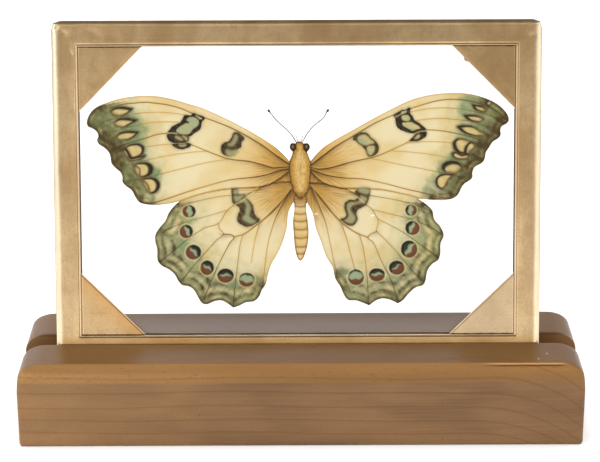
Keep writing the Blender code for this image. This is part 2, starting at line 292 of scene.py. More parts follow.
class Graph:
    """The node tree of one material."""

    def __init__(self, name: str, owner: Material | bpy.types.World | None = None) -> None:
        """Start an empty tree, of a new material unless an owner is given."""
        self.owner = owner or bpy.data.materials.new(name)
        self.owner.use_nodes = True
        self.tree = self.owner.node_tree
        self.tree.nodes.clear()

    def node(
        self, kind: str, settings: dict[str, Any] | None = None, inputs: dict[Any, Any] | None = None
    ) -> bpy.types.Node:
        """Add a node.

        Args:
            kind: its type, without the leading ShaderNode.
            settings: its properties, set first.
            inputs: values, Numbers or sockets for its inputs, by name or number.
        """
        made = self.tree.nodes.new("ShaderNode" + kind)
        for key, value in (settings or {}).items():
            setattr(made, key, value)
        for key, value in (inputs or {}).items():
            self._feed(made.inputs[key], value)
        return made

    def _feed(self, socket: Socket, value: Any) -> None:
        """Link a socket to a Number or another socket, or set its value."""
        if isinstance(value, Number):
            value = value.socket
        if isinstance(value, Socket):
            self.tree.links.new(value, socket)
        elif isinstance(value, tuple) and len(value) == 3 and socket.type == "RGBA":
            socket.default_value = (*value, 1)
        else:
            socket.default_value = value

    def attribute(self, name: str) -> "Number":
        """A number stored at the mesh's points."""
        return Number(self, self.node("Attribute", {"attribute_name": name}).outputs["Fac"])

    def place(self) -> Socket:
        """Object coordinates in millimetres."""
        coordinates = self.node("TexCoord").outputs["Object"]
        return self.node("VectorMath", {"operation": "SCALE"}, {0: coordinates, "Scale": 1 / MM}).outputs[0]

    def split(self, vector: Socket) -> tuple["Number", "Number", "Number"]:
        """The three parts of a vector."""
        parts = self.node("SeparateXYZ", inputs={0: vector}).outputs
        return Number(self, parts[0]), Number(self, parts[1]), Number(self, parts[2])

    def join(self, x: Any, y: Any, z: Any) -> Socket:
        """A vector of three numbers."""
        return self.node("CombineXYZ", inputs={0: x, 1: y, 2: z}).outputs[0]

    def noise(
        self, place: Socket, scale: Sequence[float], detail: float = 2, rough: float = 0.5
    ) -> "Number":
        """Soft noise between 0 and 1, with waves per millimetre along each axis given by scale."""
        spread = self.node("VectorMath", {"operation": "MULTIPLY"}, {0: place, 1: tuple(scale)}).outputs[0]
        inputs = {"Vector": spread, "Scale": 1, "Detail": detail, "Roughness": rough}
        return Number(self, self.node("TexNoise", inputs=inputs).outputs[0])

    def mix(self, share: Any, low: Any, high: Any, blend: str = "MIX") -> Socket:
        """Blend two colours: low where share is 0 and high where it is 1."""
        settings = {"data_type": "RGBA", "blend_type": blend, "clamp_factor": True}
        return self.node("Mix", settings, {0: share, 6: low, 7: high}).outputs[2]

    def coats(self, colour: Any, *coats: tuple[Any, Any]) -> Any:
        """Lay colours over a ground, one on another, each as (share, colour)."""
        for share, paint in coats:
            colour = self.mix(share, colour, paint)
        return colour

    def bump(self, height: Any, distance: float, strength: float = 1) -> Socket:
        """A normal tipped by a height between 0 and 1 that stands for distance in metres."""
        inputs = {"Height": height, "Distance": distance, "Strength": strength}
        return self.node("Bump", inputs=inputs).outputs[0]

    def finish(self, **inputs: Any) -> Material:
        """Close the tree with a Principled shader; underscores in names stand for spaces."""
        named = {key.replace("_", " "): value for key, value in inputs.items()}
        shader = self.node("BsdfPrincipled", inputs=named)
        self.node("OutputMaterial", inputs={"Surface": shader.outputs[0]})
        return self.owner


def operators(operation: str) -> tuple[Callable, Callable]:
    """The plain and the reflected form of a Python operator that adds a Math node."""
    def plain(left: "Number", right: Any) -> "Number":
        """The operation with a Number before the sign."""
        return left.apply(operation, left, right)

    def reflected(right: "Number", left: Any) -> "Number":
        """The operation with a plain value before the sign."""
        return right.apply(operation, left, right)

    return plain, reflected


@dataclass(frozen=True)
class Number:
    """A number in a node tree. Python's operators on it add Math nodes."""

    graph: Graph
    socket: Socket

    __add__, __radd__ = operators("ADD")
    __sub__, __rsub__ = operators("SUBTRACT")
    __mul__, __rmul__ = operators("MULTIPLY")
    __truediv__, __rtruediv__ = operators("DIVIDE")
    __pow__, __rpow__ = operators("POWER")

    def apply(self, operation: str, *values: Any, clamp: bool = False) -> "Number":
        """Add a Math node on the given values."""
        settings = {"operation": operation, "use_clamp": clamp}
        return Number(self.graph, self.graph.node("Math", settings, dict(enumerate(values))).outputs[0])

    def fraction(self) -> "Number":
        """What is left of it above the whole number below."""
        return self.apply("FRACT", self)

    def above(self, least: float) -> "Number":
        """The greater of it and least."""
        return self.apply("MAXIMUM", self, least)

    def clamped(self) -> "Number":
        """It, held between 0 and 1."""
        return self.apply("ADD", self, 0, clamp=True)

    def size(self) -> "Number":
        """The number without its sign."""
        return self.apply("ABSOLUTE", self)

    def ease(self, low: float, high: float) -> "Number":
        """Go smoothly from 0 where it is low to 1 where it is high."""
        settings = {"interpolation_type": "SMOOTHSTEP"}
        inputs = {"Value": self, "From Min": low, "From Max": high}
        return Number(self.graph, self.graph.node("MapRange", settings, inputs).outputs[0])

    def fall(self, low: float, high: float) -> "Number":
        """Go smoothly from 1 where it is low to 0 where it is high."""
        return 1 - self.ease(low, high)

    def band(self, start: float, full: float, fading: float, end: float) -> "Number":
        """Rise from 0 at start to 1 at full, and fall from 1 at fading to 0 at end."""
        return self.ease(start, full) * self.fall(fading, end)

    def towards(self, value: Any, share: Any) -> "Number":
        """Go a share of the way from it to a value."""
        return self + share * (value - self)


# --- Finishes


@dataclass(frozen=True)
class OiledWood:
    """Warm brown wood, grain along X, that bends down towards the right end."""

    pale: Colour = srgb(143, 106, 66)
    deep: Colour = srgb(103, 73, 42)
    late: Colour = (0.91, 0.79, 0.57)  # what late wood lets through of the colour round it
    worn: Colour = srgb(128, 90, 44)
    # also the colour of the painted shadow line on the shoulder
    pore_and_shadow: Colour = srgb(60, 38, 22)
    # painted shade: the flat tops are painted darker, standing in for the brass frame's dark reflection in
    # them
    top: Colour = srgb(84, 57, 26)
    rubbed: Colour = srgb(186, 140, 84)
    fleck: Colour = srgb(232, 226, 214)
    flecks: tuple[tuple[float, float], ...] = ((82.2, -21.5), (85.6, -17.2))
    sawn: Colour = srgb(114, 80, 44)
    pits: tuple[tuple[float, float], ...] = ((-35, 12.1), (49.1, 2.8), (48.8, 15.5))  # x and z
    rub_y: float = -25
    chip_x: float = -86.5
    ring_spacing: float = 5.1  # millimetres
    front_y: float = -28.9
    front_round: float = 5.1
    top_z: float = 29.5

    def material(self) -> Material:
        """Growth rings as sheets across the block, fibres, pores, and a paler worn front edge; painted shade
        darkens the flat tops and a line under the rubbed line, and painted light makes the left end paler.
        """
        g = Graph("grained_wood")
        place = g.place()
        x, y, z = g.split(place)
        sway = g.noise(place, (0.012, 0.03, 0.05), 1) - 0.5
        bend = (x - 57 - z * 0.3).above(0) ** 2
        rise = z + y * 0.22 + 1 + bend * 0.0085 + sway * 5
        late = (rise / self.ring_spacing).fraction().band(0.8, 0.955, 0.965, 1)
        fibre = g.noise(place, (0.05, 2.2, 2.2), 3, 0.6)
        mottle = g.noise(place, (0.03, 0.09, 0.09))
        pores = g.noise(place, (0.35, 3.4, 3.4), 1, 0.4).ease(0.66, 0.76)
        specks = g.noise(place, (1.6, 2.4, 2.4), 2, 0.6)
        edge_z = self.top_z - self.front_round
        behind_edge = (y - self.front_y).ease(self.front_round - 0.9, self.front_round - 0.1)
        flat_top = z.ease(self.top_z - 9, self.top_z - 1.5) * behind_edge
        shoulder = z.ease(edge_z - 0.6, edge_z + 0.3) * (1 - behind_edge)
        low_shoulder = shoulder * z.fall(26.6, 28.2) * x.fall(-95, 30)
        groove = y.band(-9.9, -9.3, 1.2, 1.8) * z.fall(28.2, 28.9)
        worn_end = x.band(60, 70, 89, 92)
        rubbed = worn_end * (y - self.rub_y).size().fall(0.15, 0.55)
        # painted shadow: a dark line just below the rubbed line on the shoulder
        shadow = worn_end * (y - self.rub_y + 0.9).size().fall(0.1, 0.5) * shoulder
        beside = x - self.chip_x
        chip = beside.size().ease(0.6, 2.6) + (y - 19.2 - beside * 0.35).size().ease(0.1, 0.8)
        flecks = [self.dot(x - across, y - ahead, 0.12) * flat_top for across, ahead in self.flecks]
        pits = [self.dot(x - across, z - up, 0.1) for across, up in self.pits]

        colour = g.coats(
            self.deep,
            # painted light: paler towards the left end, where more light falls; the mottle mixed in is the
            # wood's own tone
            ((x.fall(-90, 0) * 0.55 + mottle.ease(0.3, 0.7) * 0.45).clamped(), self.pale),
            (fibre.ease(0.35, 0.7) * 0.25, self.pale),
            (shoulder * (0.45 + 0.5 * specks.ease(0.4, 0.6)), self.worn),
            (low_shoulder * 0.3, self.rubbed),
            (specks.ease(0.38, 0.62) * 0.2, self.deep),
        )
        colour = g.mix(late * (0.55 + 0.9 * mottle), colour, self.late, "MULTIPLY")
        colour = g.coats(
            colour,
            (pores * (0.16 + 0.34 * shoulder), self.pore_and_shadow),
            # painted shade on the flat tops
            (flat_top * 0.8, self.top),
            (groove * 0.9, self.sawn),
            (rubbed * 0.55, self.rubbed),
            (shadow * 0.85, self.pore_and_shadow),
            ((1 - chip).clamped() * flat_top * 0.6, self.rubbed),
            *((fleck * 0.8, self.fleck) for fleck in flecks),
            *((pit * 0.8, self.pore_and_shadow) for pit in pits),
        )
        rough = 0.5 - 0.17 * flat_top + 0.12 * shoulder + (mottle - 0.5) * 0.1
        height = fibre * 0.6 + pores * -0.5 + specks * (0.25 + shoulder * 0.5) - late * 0.3
        normal = g.bump(height, 0.06 * MM, 0.7)
        return g.finish(Base_Color=colour, Roughness=rough, Specular_IOR_Level=0.3, Normal=normal)

    @staticmethod
    def dot(across: Number, along: Number, core: float) -> Number:
        """1 in a dot's core and 0 from 0.34 mm on, by the way to its middle along two axes."""
        return ((across**2 + along**2) ** 0.5).fall(core, 0.34)


@dataclass(frozen=True)
class SatinBrass:
    """Softly mottled satin brass with streaks along the rails, painted shade in its creases and painted
    highlights on its edges.
    """

    name: str
    bright: Colour = srgb(228, 196, 149)
    dull: Colour = srgb(192, 158, 113)
    gold: Colour = srgb(222, 168, 96)
    # pale brass for painted highlights and for polish
    polished: Colour = srgb(246, 229, 200)
    # dull brass for the grain and streaks, and for painted shade towards the top and right
    tarnished: Colour = srgb(142, 112, 72)
    # colour of painted shade in creases, recesses, joints and on the dark outer flanks
    crease: Colour = srgb(84, 58, 30)
    roughness: float = 0.34
    opening: float = 76.2  # millimetres from the middle to the opening's side

    def material(self) -> Material:
        """Cloudy dulling over fine grain. Attributes say where it is warm, where it is dulled by age and by
        painted shade towards the top, where painted highlights and polish make it pale, and where painted
        shade darkens its creases and flanks.
        """
        g = Graph(self.name)
        place = g.place()
        x, _, _ = g.split(place)
        cloud = g.noise(place, (0.05, 0.05, 0.035), 3, 0.55)
        grain = g.noise(place, (2.6, 2.6, 2.2), 2, 0.7)
        patch = g.noise(place, (0.35, 0.35, 0.28), 3, 0.6)
        upright = g.noise(place, (1.3, 1.3, 0.03), 3, 0.6)
        level = g.noise(place, (0.03, 1.3, 1.3), 3, 0.6)
        side = (x * x).ease((self.opening + 0.3) ** 2, (self.opening + 1.6) ** 2)
        streak = level.towards(upright, side)
        polish, crease = g.attribute("polish"), g.attribute("crease")
        colour = g.coats(
            self.bright,
            (cloud.ease(0.35, 0.68), self.dull),
            (patch.ease(0.5, 0.75) * 0.45, self.dull),
            (grain.ease(0.46, 0.66) * 0.3, self.tarnished),
            (streak.ease(0.5, 0.72) * 0.16, self.tarnished),
            (g.attribute("gold"), self.gold),
            # painted shade towards the top and right of the frame, and each plate's darker tone
            (g.attribute("tarnish") * (0.6 + 0.8 * patch), self.tarnished),
            # painted highlights on the frame's outer edges, its bead and the plates' hems, and polish on some
            # plates
            (polish, self.polished),
            # painted shade in creases, recesses, joints and on the outer flanks
            (crease, self.crease),
        )
        rough = self.roughness + (cloud - 0.5) * 0.12 + (grain - 0.5) * 0.16 + crease * 0.2 - polish * 0.12
        normal = g.bump(grain * 0.7 + patch * 1.1 + streak * 0.5, 0.035 * MM, 0.55)
        return g.finish(Base_Color=colour, Metallic=1, Roughness=rough, Normal=normal)


@dataclass(frozen=True)
class ClearGlass:
    """Plain clear glass with the faint unevenness of drawn sheet."""

    tint: Colour = (0.992, 0.996, 1)
    ior: float = 1.5

    def material(self) -> Material:
        """Full transmission, with a long low wave in its normal."""
        g = Graph("drawn_glass")
        wave = g.noise(g.place(), (0.02, 0.02, 0.008), 1)
        normal = g.bump(wave, 0.02 * MM, 0.5)
        return g.finish(
            Base_Color=self.tint, Roughness=0, IOR=self.ior, Transmission_Weight=1, Normal=normal
        )


class Paint(Enum):
    """The paints of the butterfly sheet, in the order in which they lie over its cream ground."""

    TAN = "tan"
    GREEN = "green"
    TEAL = "teal"
    OLIVE = "olive"
    PALE = "pale"
    MINT = "mint"
    RUST = "rust"
    UMBER = "umber"
    INK = "ink"
    WHITE = "white"


@dataclass(frozen=True)
class PaintedPaper:
    """Matt paper whose paints lie where the mesh's attributes say, with soft cloudy edges."""

    ground: Colour = srgb(219, 205, 165)
    ground_warm: Colour = srgb(212, 191, 139)
    rays: float = 46  # hatching lines in a radian round a wing's root
    colours: tuple[tuple[Paint, Colour], ...] = (
        (Paint.TAN, srgb(207, 160, 68)),
        (Paint.GREEN, srgb(118, 130, 80)),
        (Paint.TEAL, srgb(108, 132, 90)),
        (Paint.OLIVE, srgb(76, 58, 20)),
        (Paint.PALE, srgb(206, 184, 122)),
        (Paint.MINT, srgb(148, 160, 122)),
        (Paint.RUST, srgb(112, 42, 20)),
        (Paint.UMBER, srgb(90, 62, 24)),
        (Paint.INK, srgb(20, 14, 5)),
        (Paint.WHITE, srgb(250, 250, 248)),
    )

    def material(self) -> Material:
        """Cream ground, then each paint by its attribute, broken up by fine and coarse noise."""
        g = Graph("painted_paper")
        place = g.place()
        cloud = g.noise(place, (0.09, 0.09, 0.09), 2)
        stipple = g.noise(place, (3, 3, 3), 2, 0.65)
        blotch = g.noise(place, (0.55, 0.55, 0.55), 3, 0.6)
        fan = g.join(g.attribute("ray") * self.rays, g.attribute("span") * 0.05, 0)
        hatch = g.noise(fan, (1, 1, 1), 1, 0.4).ease(0.5, 0.62) * g.attribute("hatch")
        colour = g.mix(cloud.ease(0.38, 0.66), self.ground, self.ground_warm)
        for paint, shade in self.colours:
            share = g.attribute(paint.value)
            if paint in (Paint.GREEN, Paint.TEAL):
                share = (share + (blotch - 0.5) * 0.34 + (stipple - 0.5) * 0.16).ease(0.1, 0.9)
            elif paint is Paint.OLIVE:
                share = (share * (0.1 + 1.9 * blotch) + (stipple - 0.5) * 0.35 * share).clamped()
            elif paint is Paint.UMBER:
                share = (share + hatch * 0.5).clamped()
            colour = g.mix(share, colour, shade)
        rough, normal = 0.62 + (stipple - 0.5) * 0.1, g.bump(stipple, 0.01 * MM, 0.4)
        return g.finish(Base_Color=colour, Roughness=rough, Specular_IOR_Level=0.2, Normal=normal)


@dataclass(frozen=True)
class PaleFloor:
    """A plain matt floor."""

    colour: Colour = (0.9, 0.9, 0.9)

    def material(self) -> Material:
        """Nearly white, with the faintest mottling."""
        g = Graph("pale_floor")
        cloud = g.noise(g.place(), (0.01, 0.01, 0.01), 2)
        colour = g.mix(cloud * 0.04, self.colour, (0.84, 0.84, 0.84))
        return g.finish(Base_Color=colour, Roughness=0.9)


# --- Sub-assemblies


@dataclass(frozen=True)
class Lean:
    """The brass frame's own space: +x along it, +y into it from front to back, +z up it.

    Its origin is the middle of the lower edge of the frame's back face.
    """

    origin: Triple
    angle: float

    @classmethod
    def of_pane(cls, angle: float, back: float, front: float, foot: float, shift: float) -> "Lean":
        """Work the origin out from the lowest and foremost edges of the front pane's box.

        Args:
            angle: how far the frame leans back, in radians.
            back: the depth of the pane's back face behind the origin, negative in front.
            front: the same for its front face.
            foot: the height of its lower edge up the frame.
            shift: the frame's middle, along X.
        """
        low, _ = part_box("front_glass")
        sine, cosine = math.sin(angle), math.cos(angle)
        y = low.y - front * cosine - foot * sine
        z = low.z + back * sine - foot * cosine
        return cls((shift, y, z), angle)

    def turned(self, y: Any, z: Any) -> tuple[Any, Any]:
        """Where a depth and a height of the frame's space lie along Y and Z."""
        sine, cosine = math.sin(self.angle), math.cos(self.angle)
        return self.origin[1] + y * cosine + z * sine, self.origin[2] - y * sine + z * cosine

    def place(self, points: Array) -> Array:
        """Turn points of the frame's space back by the lean and set them down at the origin."""
        x, y, z = np.moveaxis(np.asarray(points, float), -1, 0)
        return np.stack((x + self.origin[0], *self.turned(y, z)), -1)

    def take(self, points: Array) -> Array:
        """Bring points of the row frame into the frame's space."""
        sine, cosine = math.sin(self.angle), math.cos(self.angle)
        x, y, z = np.moveaxis(np.asarray(points, float) - self.origin, -1, 0)
        return np.stack((x, y * cosine - z * sine, y * sine + z * cosine), -1)


@dataclass
class WoodenStand:
    """The block of wood: a section with a tilted groove, carried along X between rounded ends."""

    lean: Lean
    end_across: float = 8.6 * MM
    end_down: float = 5.5 * MM
    front_round: float = 5.1 * MM
    back_round: float = 1.7 * MM
    corner_round: float = 1.2 * MM
    chamfer: float = 0.6 * MM
    groove_front: float = -8.3 * MM  # in the frame's space
    groove_back: float = 0.3 * MM
    groove_floor: float = -0.3 * MM
    eased: float = 0.35 * MM
    spacing: float = 1.5 * MM

    def stations(self, half: float) -> Array:
        """Places along the block, close together round its two ends."""
        turn = np.radians(np.linspace(0, 90, 19))
        end = half - self.end_across + self.end_across * np.sin(turn)
        corner = half - self.corner_round + self.corner_round * np.sin(turn[::3])
        straight = np.arange(0, half - self.end_across, self.spacing)
        right = np.unique(np.round(np.concatenate([straight, end, corner]), 7))
        return np.concatenate([-right[:0:-1], right])

    def ends(self, x: Array, half: float, height: float) -> tuple[Array, Array, Array]:
        """The block's height, the inset of its faces and the lift of its foot at each station.

        The height falls by a quarter ellipse, the inset grows by a quarter circle, and the foot
        rises by the chamfer.
        """
        over = np.clip((np.abs(x) - half + self.end_across) / self.end_across, 0, 1)
        top = height - self.end_down * (1 - np.sqrt(1 - over**2))
        round_in = np.clip(np.abs(x) - half + self.corner_round, 0, self.corner_round)
        inset = self.corner_round - np.sqrt(self.corner_round**2 - round_in**2)
        foot = np.clip(np.abs(x) - half + self.chamfer, 0, None)
        return top, inset, foot

    def wall(self, depth_in: float, top: Array) -> Array:
        """How far up the frame's space a groove wall reaches the block's top."""
        sine, cosine = math.sin(self.lean.angle), math.cos(self.lean.angle)
        return (top - self.lean.origin[2] + depth_in * sine) / cosine

    def section(self, x: Array, front: float, back: float, half: float, height: float) -> Array:
        """The section at every station: a (stations, points, 3) grid.

        Round the block run its underside, front face, quarter-circle front edge, front ridge,
        groove, back ridge, back edge and back face. The groove's two top edges are eased by
        quadratic curves, the back one unevenly, as the saw left it.
        """
        top, inset, foot = (values[:, None] for values in self.ends(x, half, height))
        x = x[:, None]
        front_y, back_y = front + inset, back - inset

        def at(y: Array, z: Array) -> Array:
            """A point of every section: a (stations, 1, 2) array."""
            return np.stack(np.broadcast_arrays(y, z), -1)

        def in_groove(y: float, z: Array) -> Array:
            """The same, of a point of the frame's space."""
            return at(*self.lean.turned(y, z))

        def run(start: Array, end: Array, count: int) -> Array:
            """A straight stretch, without its end."""
            return start + (end - start) * np.linspace(0, 1, count, endpoint=False)[:, None]

        def turn(centre: Array, radius: float, first: float, count: int) -> Array:
            """A quarter turn down from an angle in degrees, without its end."""
            angle = np.radians(np.linspace(first, first - 90, count, endpoint=False))
            return centre + radius * np.stack([np.cos(angle), np.sin(angle)], 1)

        def eased(before: Array, corner: Array, after: Array) -> Array:
            """A corner rounded by a quadratic curve, without its end."""
            t = np.linspace(0, 1, 5, endpoint=False)[:, None]
            return (1 - t) ** 2 * before + 2 * t * (1 - t) * corner + t**2 * after

        chips = self.eased * (1 + 0.9 * np.clip(ripple(x / (5 * MM), seed=3), -0.6, 1))
        wall_front, wall_back = self.wall(self.groove_front, top), self.wall(self.groove_back, top)
        corner_front = in_groove(self.groove_front, wall_front)
        corner_back = in_groove(self.groove_back, wall_back)
        ridge_front = at(corner_front[..., 0] - self.eased, top)
        ridge_back = at(corner_back[..., 0] + chips, top)
        down_front = in_groove(self.groove_front, wall_front - self.eased)
        down_back = in_groove(self.groove_back, wall_back - chips)
        floor_front, floor_back = (
            in_groove(wall, self.groove_floor + 0 * top) for wall in (self.groove_front, self.groove_back)
        )
        c, fr, br = self.chamfer, self.front_round, self.back_round
        sides = np.concatenate([
            run(at(back_y - c, foot), at(front_y + c, foot), 30),
            run(at(front_y + c, foot), at(front_y, foot + c), 2),
            run(at(front_y, foot + c), at(front_y, top - fr), 18),
            turn(at(front_y + fr, top - fr), fr, 180, 18),
            run(at(front_y + fr, top), ridge_front, 12),
            eased(ridge_front, corner_front, down_front),
            run(down_front, floor_front, 5),
            run(floor_front, floor_back, 6),
            run(floor_back, down_back, 7),
            eased(down_back, corner_back, ridge_back),
            run(ridge_back, at(back_y - br, top), 14),
            turn(at(back_y - br, top - br), br, 90, 8),
            run(at(back_y, top - br), at(back_y, foot + c), 20),
            run(at(back_y, foot + c), at(back_y - c, foot), 2),
        ], 1)
        return np.concatenate([np.broadcast_to(x[..., None], (*sides.shape[:2], 1)), sides], -1)

    def build(self) -> Piece:
        """The block: its sections skinned along X, and a face over each end."""
        low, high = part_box("wooden_base")
        half = high.x
        grid = self.section(self.stations(half), low.y, high.y, half, high.z)
        rows, columns = grid.shape[:2]
        faces = grid_quads(rows, columns, ring=True).tolist()
        last = (rows - 1) * columns
        faces.append(list(range(columns - 1, -1, -1)))
        faces.append(list(range(last, last + columns)))
        return make_piece("wooden_stand", grid.reshape(-1, 3), faces, 40)


@dataclass
class BrassFrame:
    """One section swept round the opening, with worn round corners and a few knocks."""

    lean: Lean
    opening: tuple[float, float] = (152.4 * MM, 101.4 * MM)
    rail: float = 9 * MM
    thickness: float = 7.6 * MM
    lip: float = 1.2 * MM
    slot: float = 3.3 * MM
    outer_round: tuple[float, float] = (2.5 * MM, 1.5 * MM)  # across the face and into the depth
    bead: float = 0.7 * MM
    bead_round: float = 0.3 * MM
    crease_depth: float = 0.25 * MM
    crease_width: float = 0.3 * MM
    corner_pull: float = 0.62 * MM
    dish: float = 0.05 * MM  # how hollow its faces are
    stations: int = 96  # along each rail, closer together near the corners
    snug: float = 0.9996  # keeps the shell a hair inside its solid

    @property
    def middle(self) -> float:
        """The height of the opening's middle up the frame."""
        return self.rail + self.opening[1] / 2

    def section(self) -> Array:
        """The rail's section as (out, depth), out from the opening's edge and depth from the back.

        From the slot it runs round the bead, over the crease and the face to the outer round, up
        the flank, and back the same way on the other face.
        """
        def arc(middle: Point, radii: Point, first: float, count: int) -> Array:
            """A quarter of an ellipse from an angle in degrees on."""
            angle = np.radians(np.linspace(first, first + 90, count))
            return np.stack([middle[0] + radii[0] * np.cos(angle), middle[1] + radii[1] * np.sin(angle)], 1)

        (wide, drop), bead = self.outer_round, self.bead_round
        face_start, face_end = self.bead + self.crease_width, self.rail - self.outer_round[0]
        face_out = np.linspace(face_start, face_end, 12)[1:-1]
        side = np.linspace(drop, self.thickness - drop, 7)[1:-1]
        back = np.vstack([
            np.array([(self.slot, self.lip), (0, self.lip)]),
            arc((bead, bead), (bead, bead), 180, 7),
            np.array([(self.bead - bead, 0), (self.bead, self.crease_depth), (face_start, 0)]),
            np.stack([face_out, 0 * face_out], 1),
            arc((face_end, drop), (wide, drop), 270, 17),
        ])
        front = back[::-1] * (1, -1) + (0, self.thickness)
        return np.vstack([back, np.stack([0 * side + self.rail, side], 1), front])

    def build(self) -> Piece:
        """Sweep the section round: at each station of a rail the section lies on a straight line
        between the two mitred corners, and near a corner its outer part is drawn inward.
        """
        out, deep = self.section().T
        even = np.linspace(0, 1, self.stations, endpoint=False)
        bunched = (1 - np.cos(np.linspace(0, np.pi, self.stations, endpoint=False))) / 2
        t = (0.55 * bunched + 0.45 * even)[:, None, None]
        half = np.stack([self.opening[0] / 2 + out, self.opening[1] / 2 + out], 1)
        corners = np.array([(1, 1), (-1, 1), (-1, -1), (1, -1)])[:, None, None, :] * half
        swept = corners * (1 - t) + np.roll(corners, -1, axis=0) * t
        x, z = np.moveaxis(swept, -1, 0).reshape(2, -1, len(out))
        near_x, near_z = (
            np.clip(np.abs(v) - side / 2, 0, None) / self.rail for v, side in zip((x, z), self.opening)
        )
        pull = self.corner_pull * ease(near_x * near_z, 0.62, 1)
        x, z = x - np.sign(x) * pull, z - np.sign(z) * pull
        outness = np.clip(out / self.rail, 0, 1)
        front = deep > self.thickness / 2
        dish = self.dish * ease(outness, 0.12, 0.3) * fall(outness, 0.7, 0.9)
        dish = dish * (1 + ripple(x / (9 * MM), z / (7 * MM), seed=1))
        y = np.where(front, dish, -dish) - deep + self.knocks(x, z) * front
        x, y = x * self.snug, (y + self.thickness / 2) * self.snug - self.thickness / 2
        grid = self.lean.place(np.stack([x, y, z * self.snug + self.middle], -1))
        rows, columns = grid.shape[:2]
        quads = grid_quads(rows + 1, columns, ring=True) % (rows * columns)
        piece = make_piece("brass_frame_shell", grid.reshape(-1, 3), quads.tolist(), 50)
        self.patina_and_painted_light(piece, out, deep, x, z)
        return piece

    def patina_and_painted_light(self, piece: Piece, out: Array, deep: Array, x: Array, z: Array) -> None:
        """Say where the brass is warm, where painted shade darkens the creases, the slot and the outer
        flanks, where painted highlights make the bead and the side rails' outer edges pale, and where painted
        shade darkens it towards the top and right.

        Args:
            piece: the frame's shell.
            out: how far each point of the section lies out from the opening's edge.
            deep: how far it lies in front of the frame's back.
            x: the places of all points across the frame.
            z: their places up from the opening's middle.
        """
        outness, past_side = np.clip(out / self.rail, 0, 1), np.abs(x) - self.opening[0] / 2
        rim = outness < 1e-6
        # painted shade: a dark line in the crease behind the bead, the opening's walls, the slot, the dark
        # outer flanks and the nook at the top rail's opening
        line = bell(outness * self.rail - self.bead, 0.12 * MM, 0.05 * MM) * 0.62
        buried = rim * ease(deep, 0.8 * MM, 1.2 * MM) * fall(deep, 6.4 * MM, 6.8 * MM)
        wall = rim * ease(np.abs(deep - self.thickness / 2), 2.4 * MM, 2.9 * MM)
        flank = ease(past_side, 8.55 * MM, 8.9 * MM) * 0.8
        nook = fall(out, 0.1 * MM, 0.26 * MM) * ease(z, 50.3 * MM, 50.6 * MM)
        # painted highlight: pale polish on the side rails' outer rounding and, below, on the bead
        sideways = ease(past_side, 5.9 * MM, 7.6 * MM)
        bead = fall(outness, 0.03, 0.09) * (1 - wall)
        lower = ease(-z - self.opening[1] / 2, 0, 1.5 * MM) * (1 - bead)
        # painted shade: darker towards the top, on the right half and on the top rail
        rise = ease(z, -10 * MM, 60 * MM) * (1 - 0.6 * sideways)
        top = ease(z - self.opening[1] / 2, 0.6 * MM, 3 * MM)
        set_attributes(
            piece,
            crease=np.max(np.broadcast_arrays(line, flank, buried * 0.8, wall * 0.35, nook * 0.65), axis=0),
            polish=np.maximum(sideways * 0.65, bead * 0.35),
            gold=lower * 0.45,
            tarnish=rise * (0.16 + 0.14 * (x > 0)) + 0.1 * top,
        )

    @staticmethod
    def knocks(x: Array, z: Array) -> Array:
        """Small dents in the front face near its top left corner: each a round bell of depth."""
        dents = (  # across, up, depth and reach, millimetres from the opening's middle
            (-83.2, 57.4, 0.36, 0.8), (-80.6, 55.4, 0.3, 0.9), (-72.5, 56.2, 0.26, 2.2),
            (-68.8, 54, 0.2, 1.8), (-63.5, 53, 0.16, 2.2), (-77.9, 47.8, 0.26, 0.8),
            (-77.2, 29, 0.26, 0.9), (-74.5, 54.6, 0.1, 1.2), (82, 54, 0.18, 1),
            (80.5, 22, 0.18, 1.6), (-82, 9, 0.14, 1.4), (79.8, -12, 0.12, 1.2),
        )
        pushed = np.zeros_like(x)
        for across, up, deep, reach in dents:
            gap = ((x - across * MM) ** 2 + (z - up * MM) ** 2) / (reach * MM) ** 2
            pushed = pushed + deep * MM * np.exp(-gap)
        return pushed


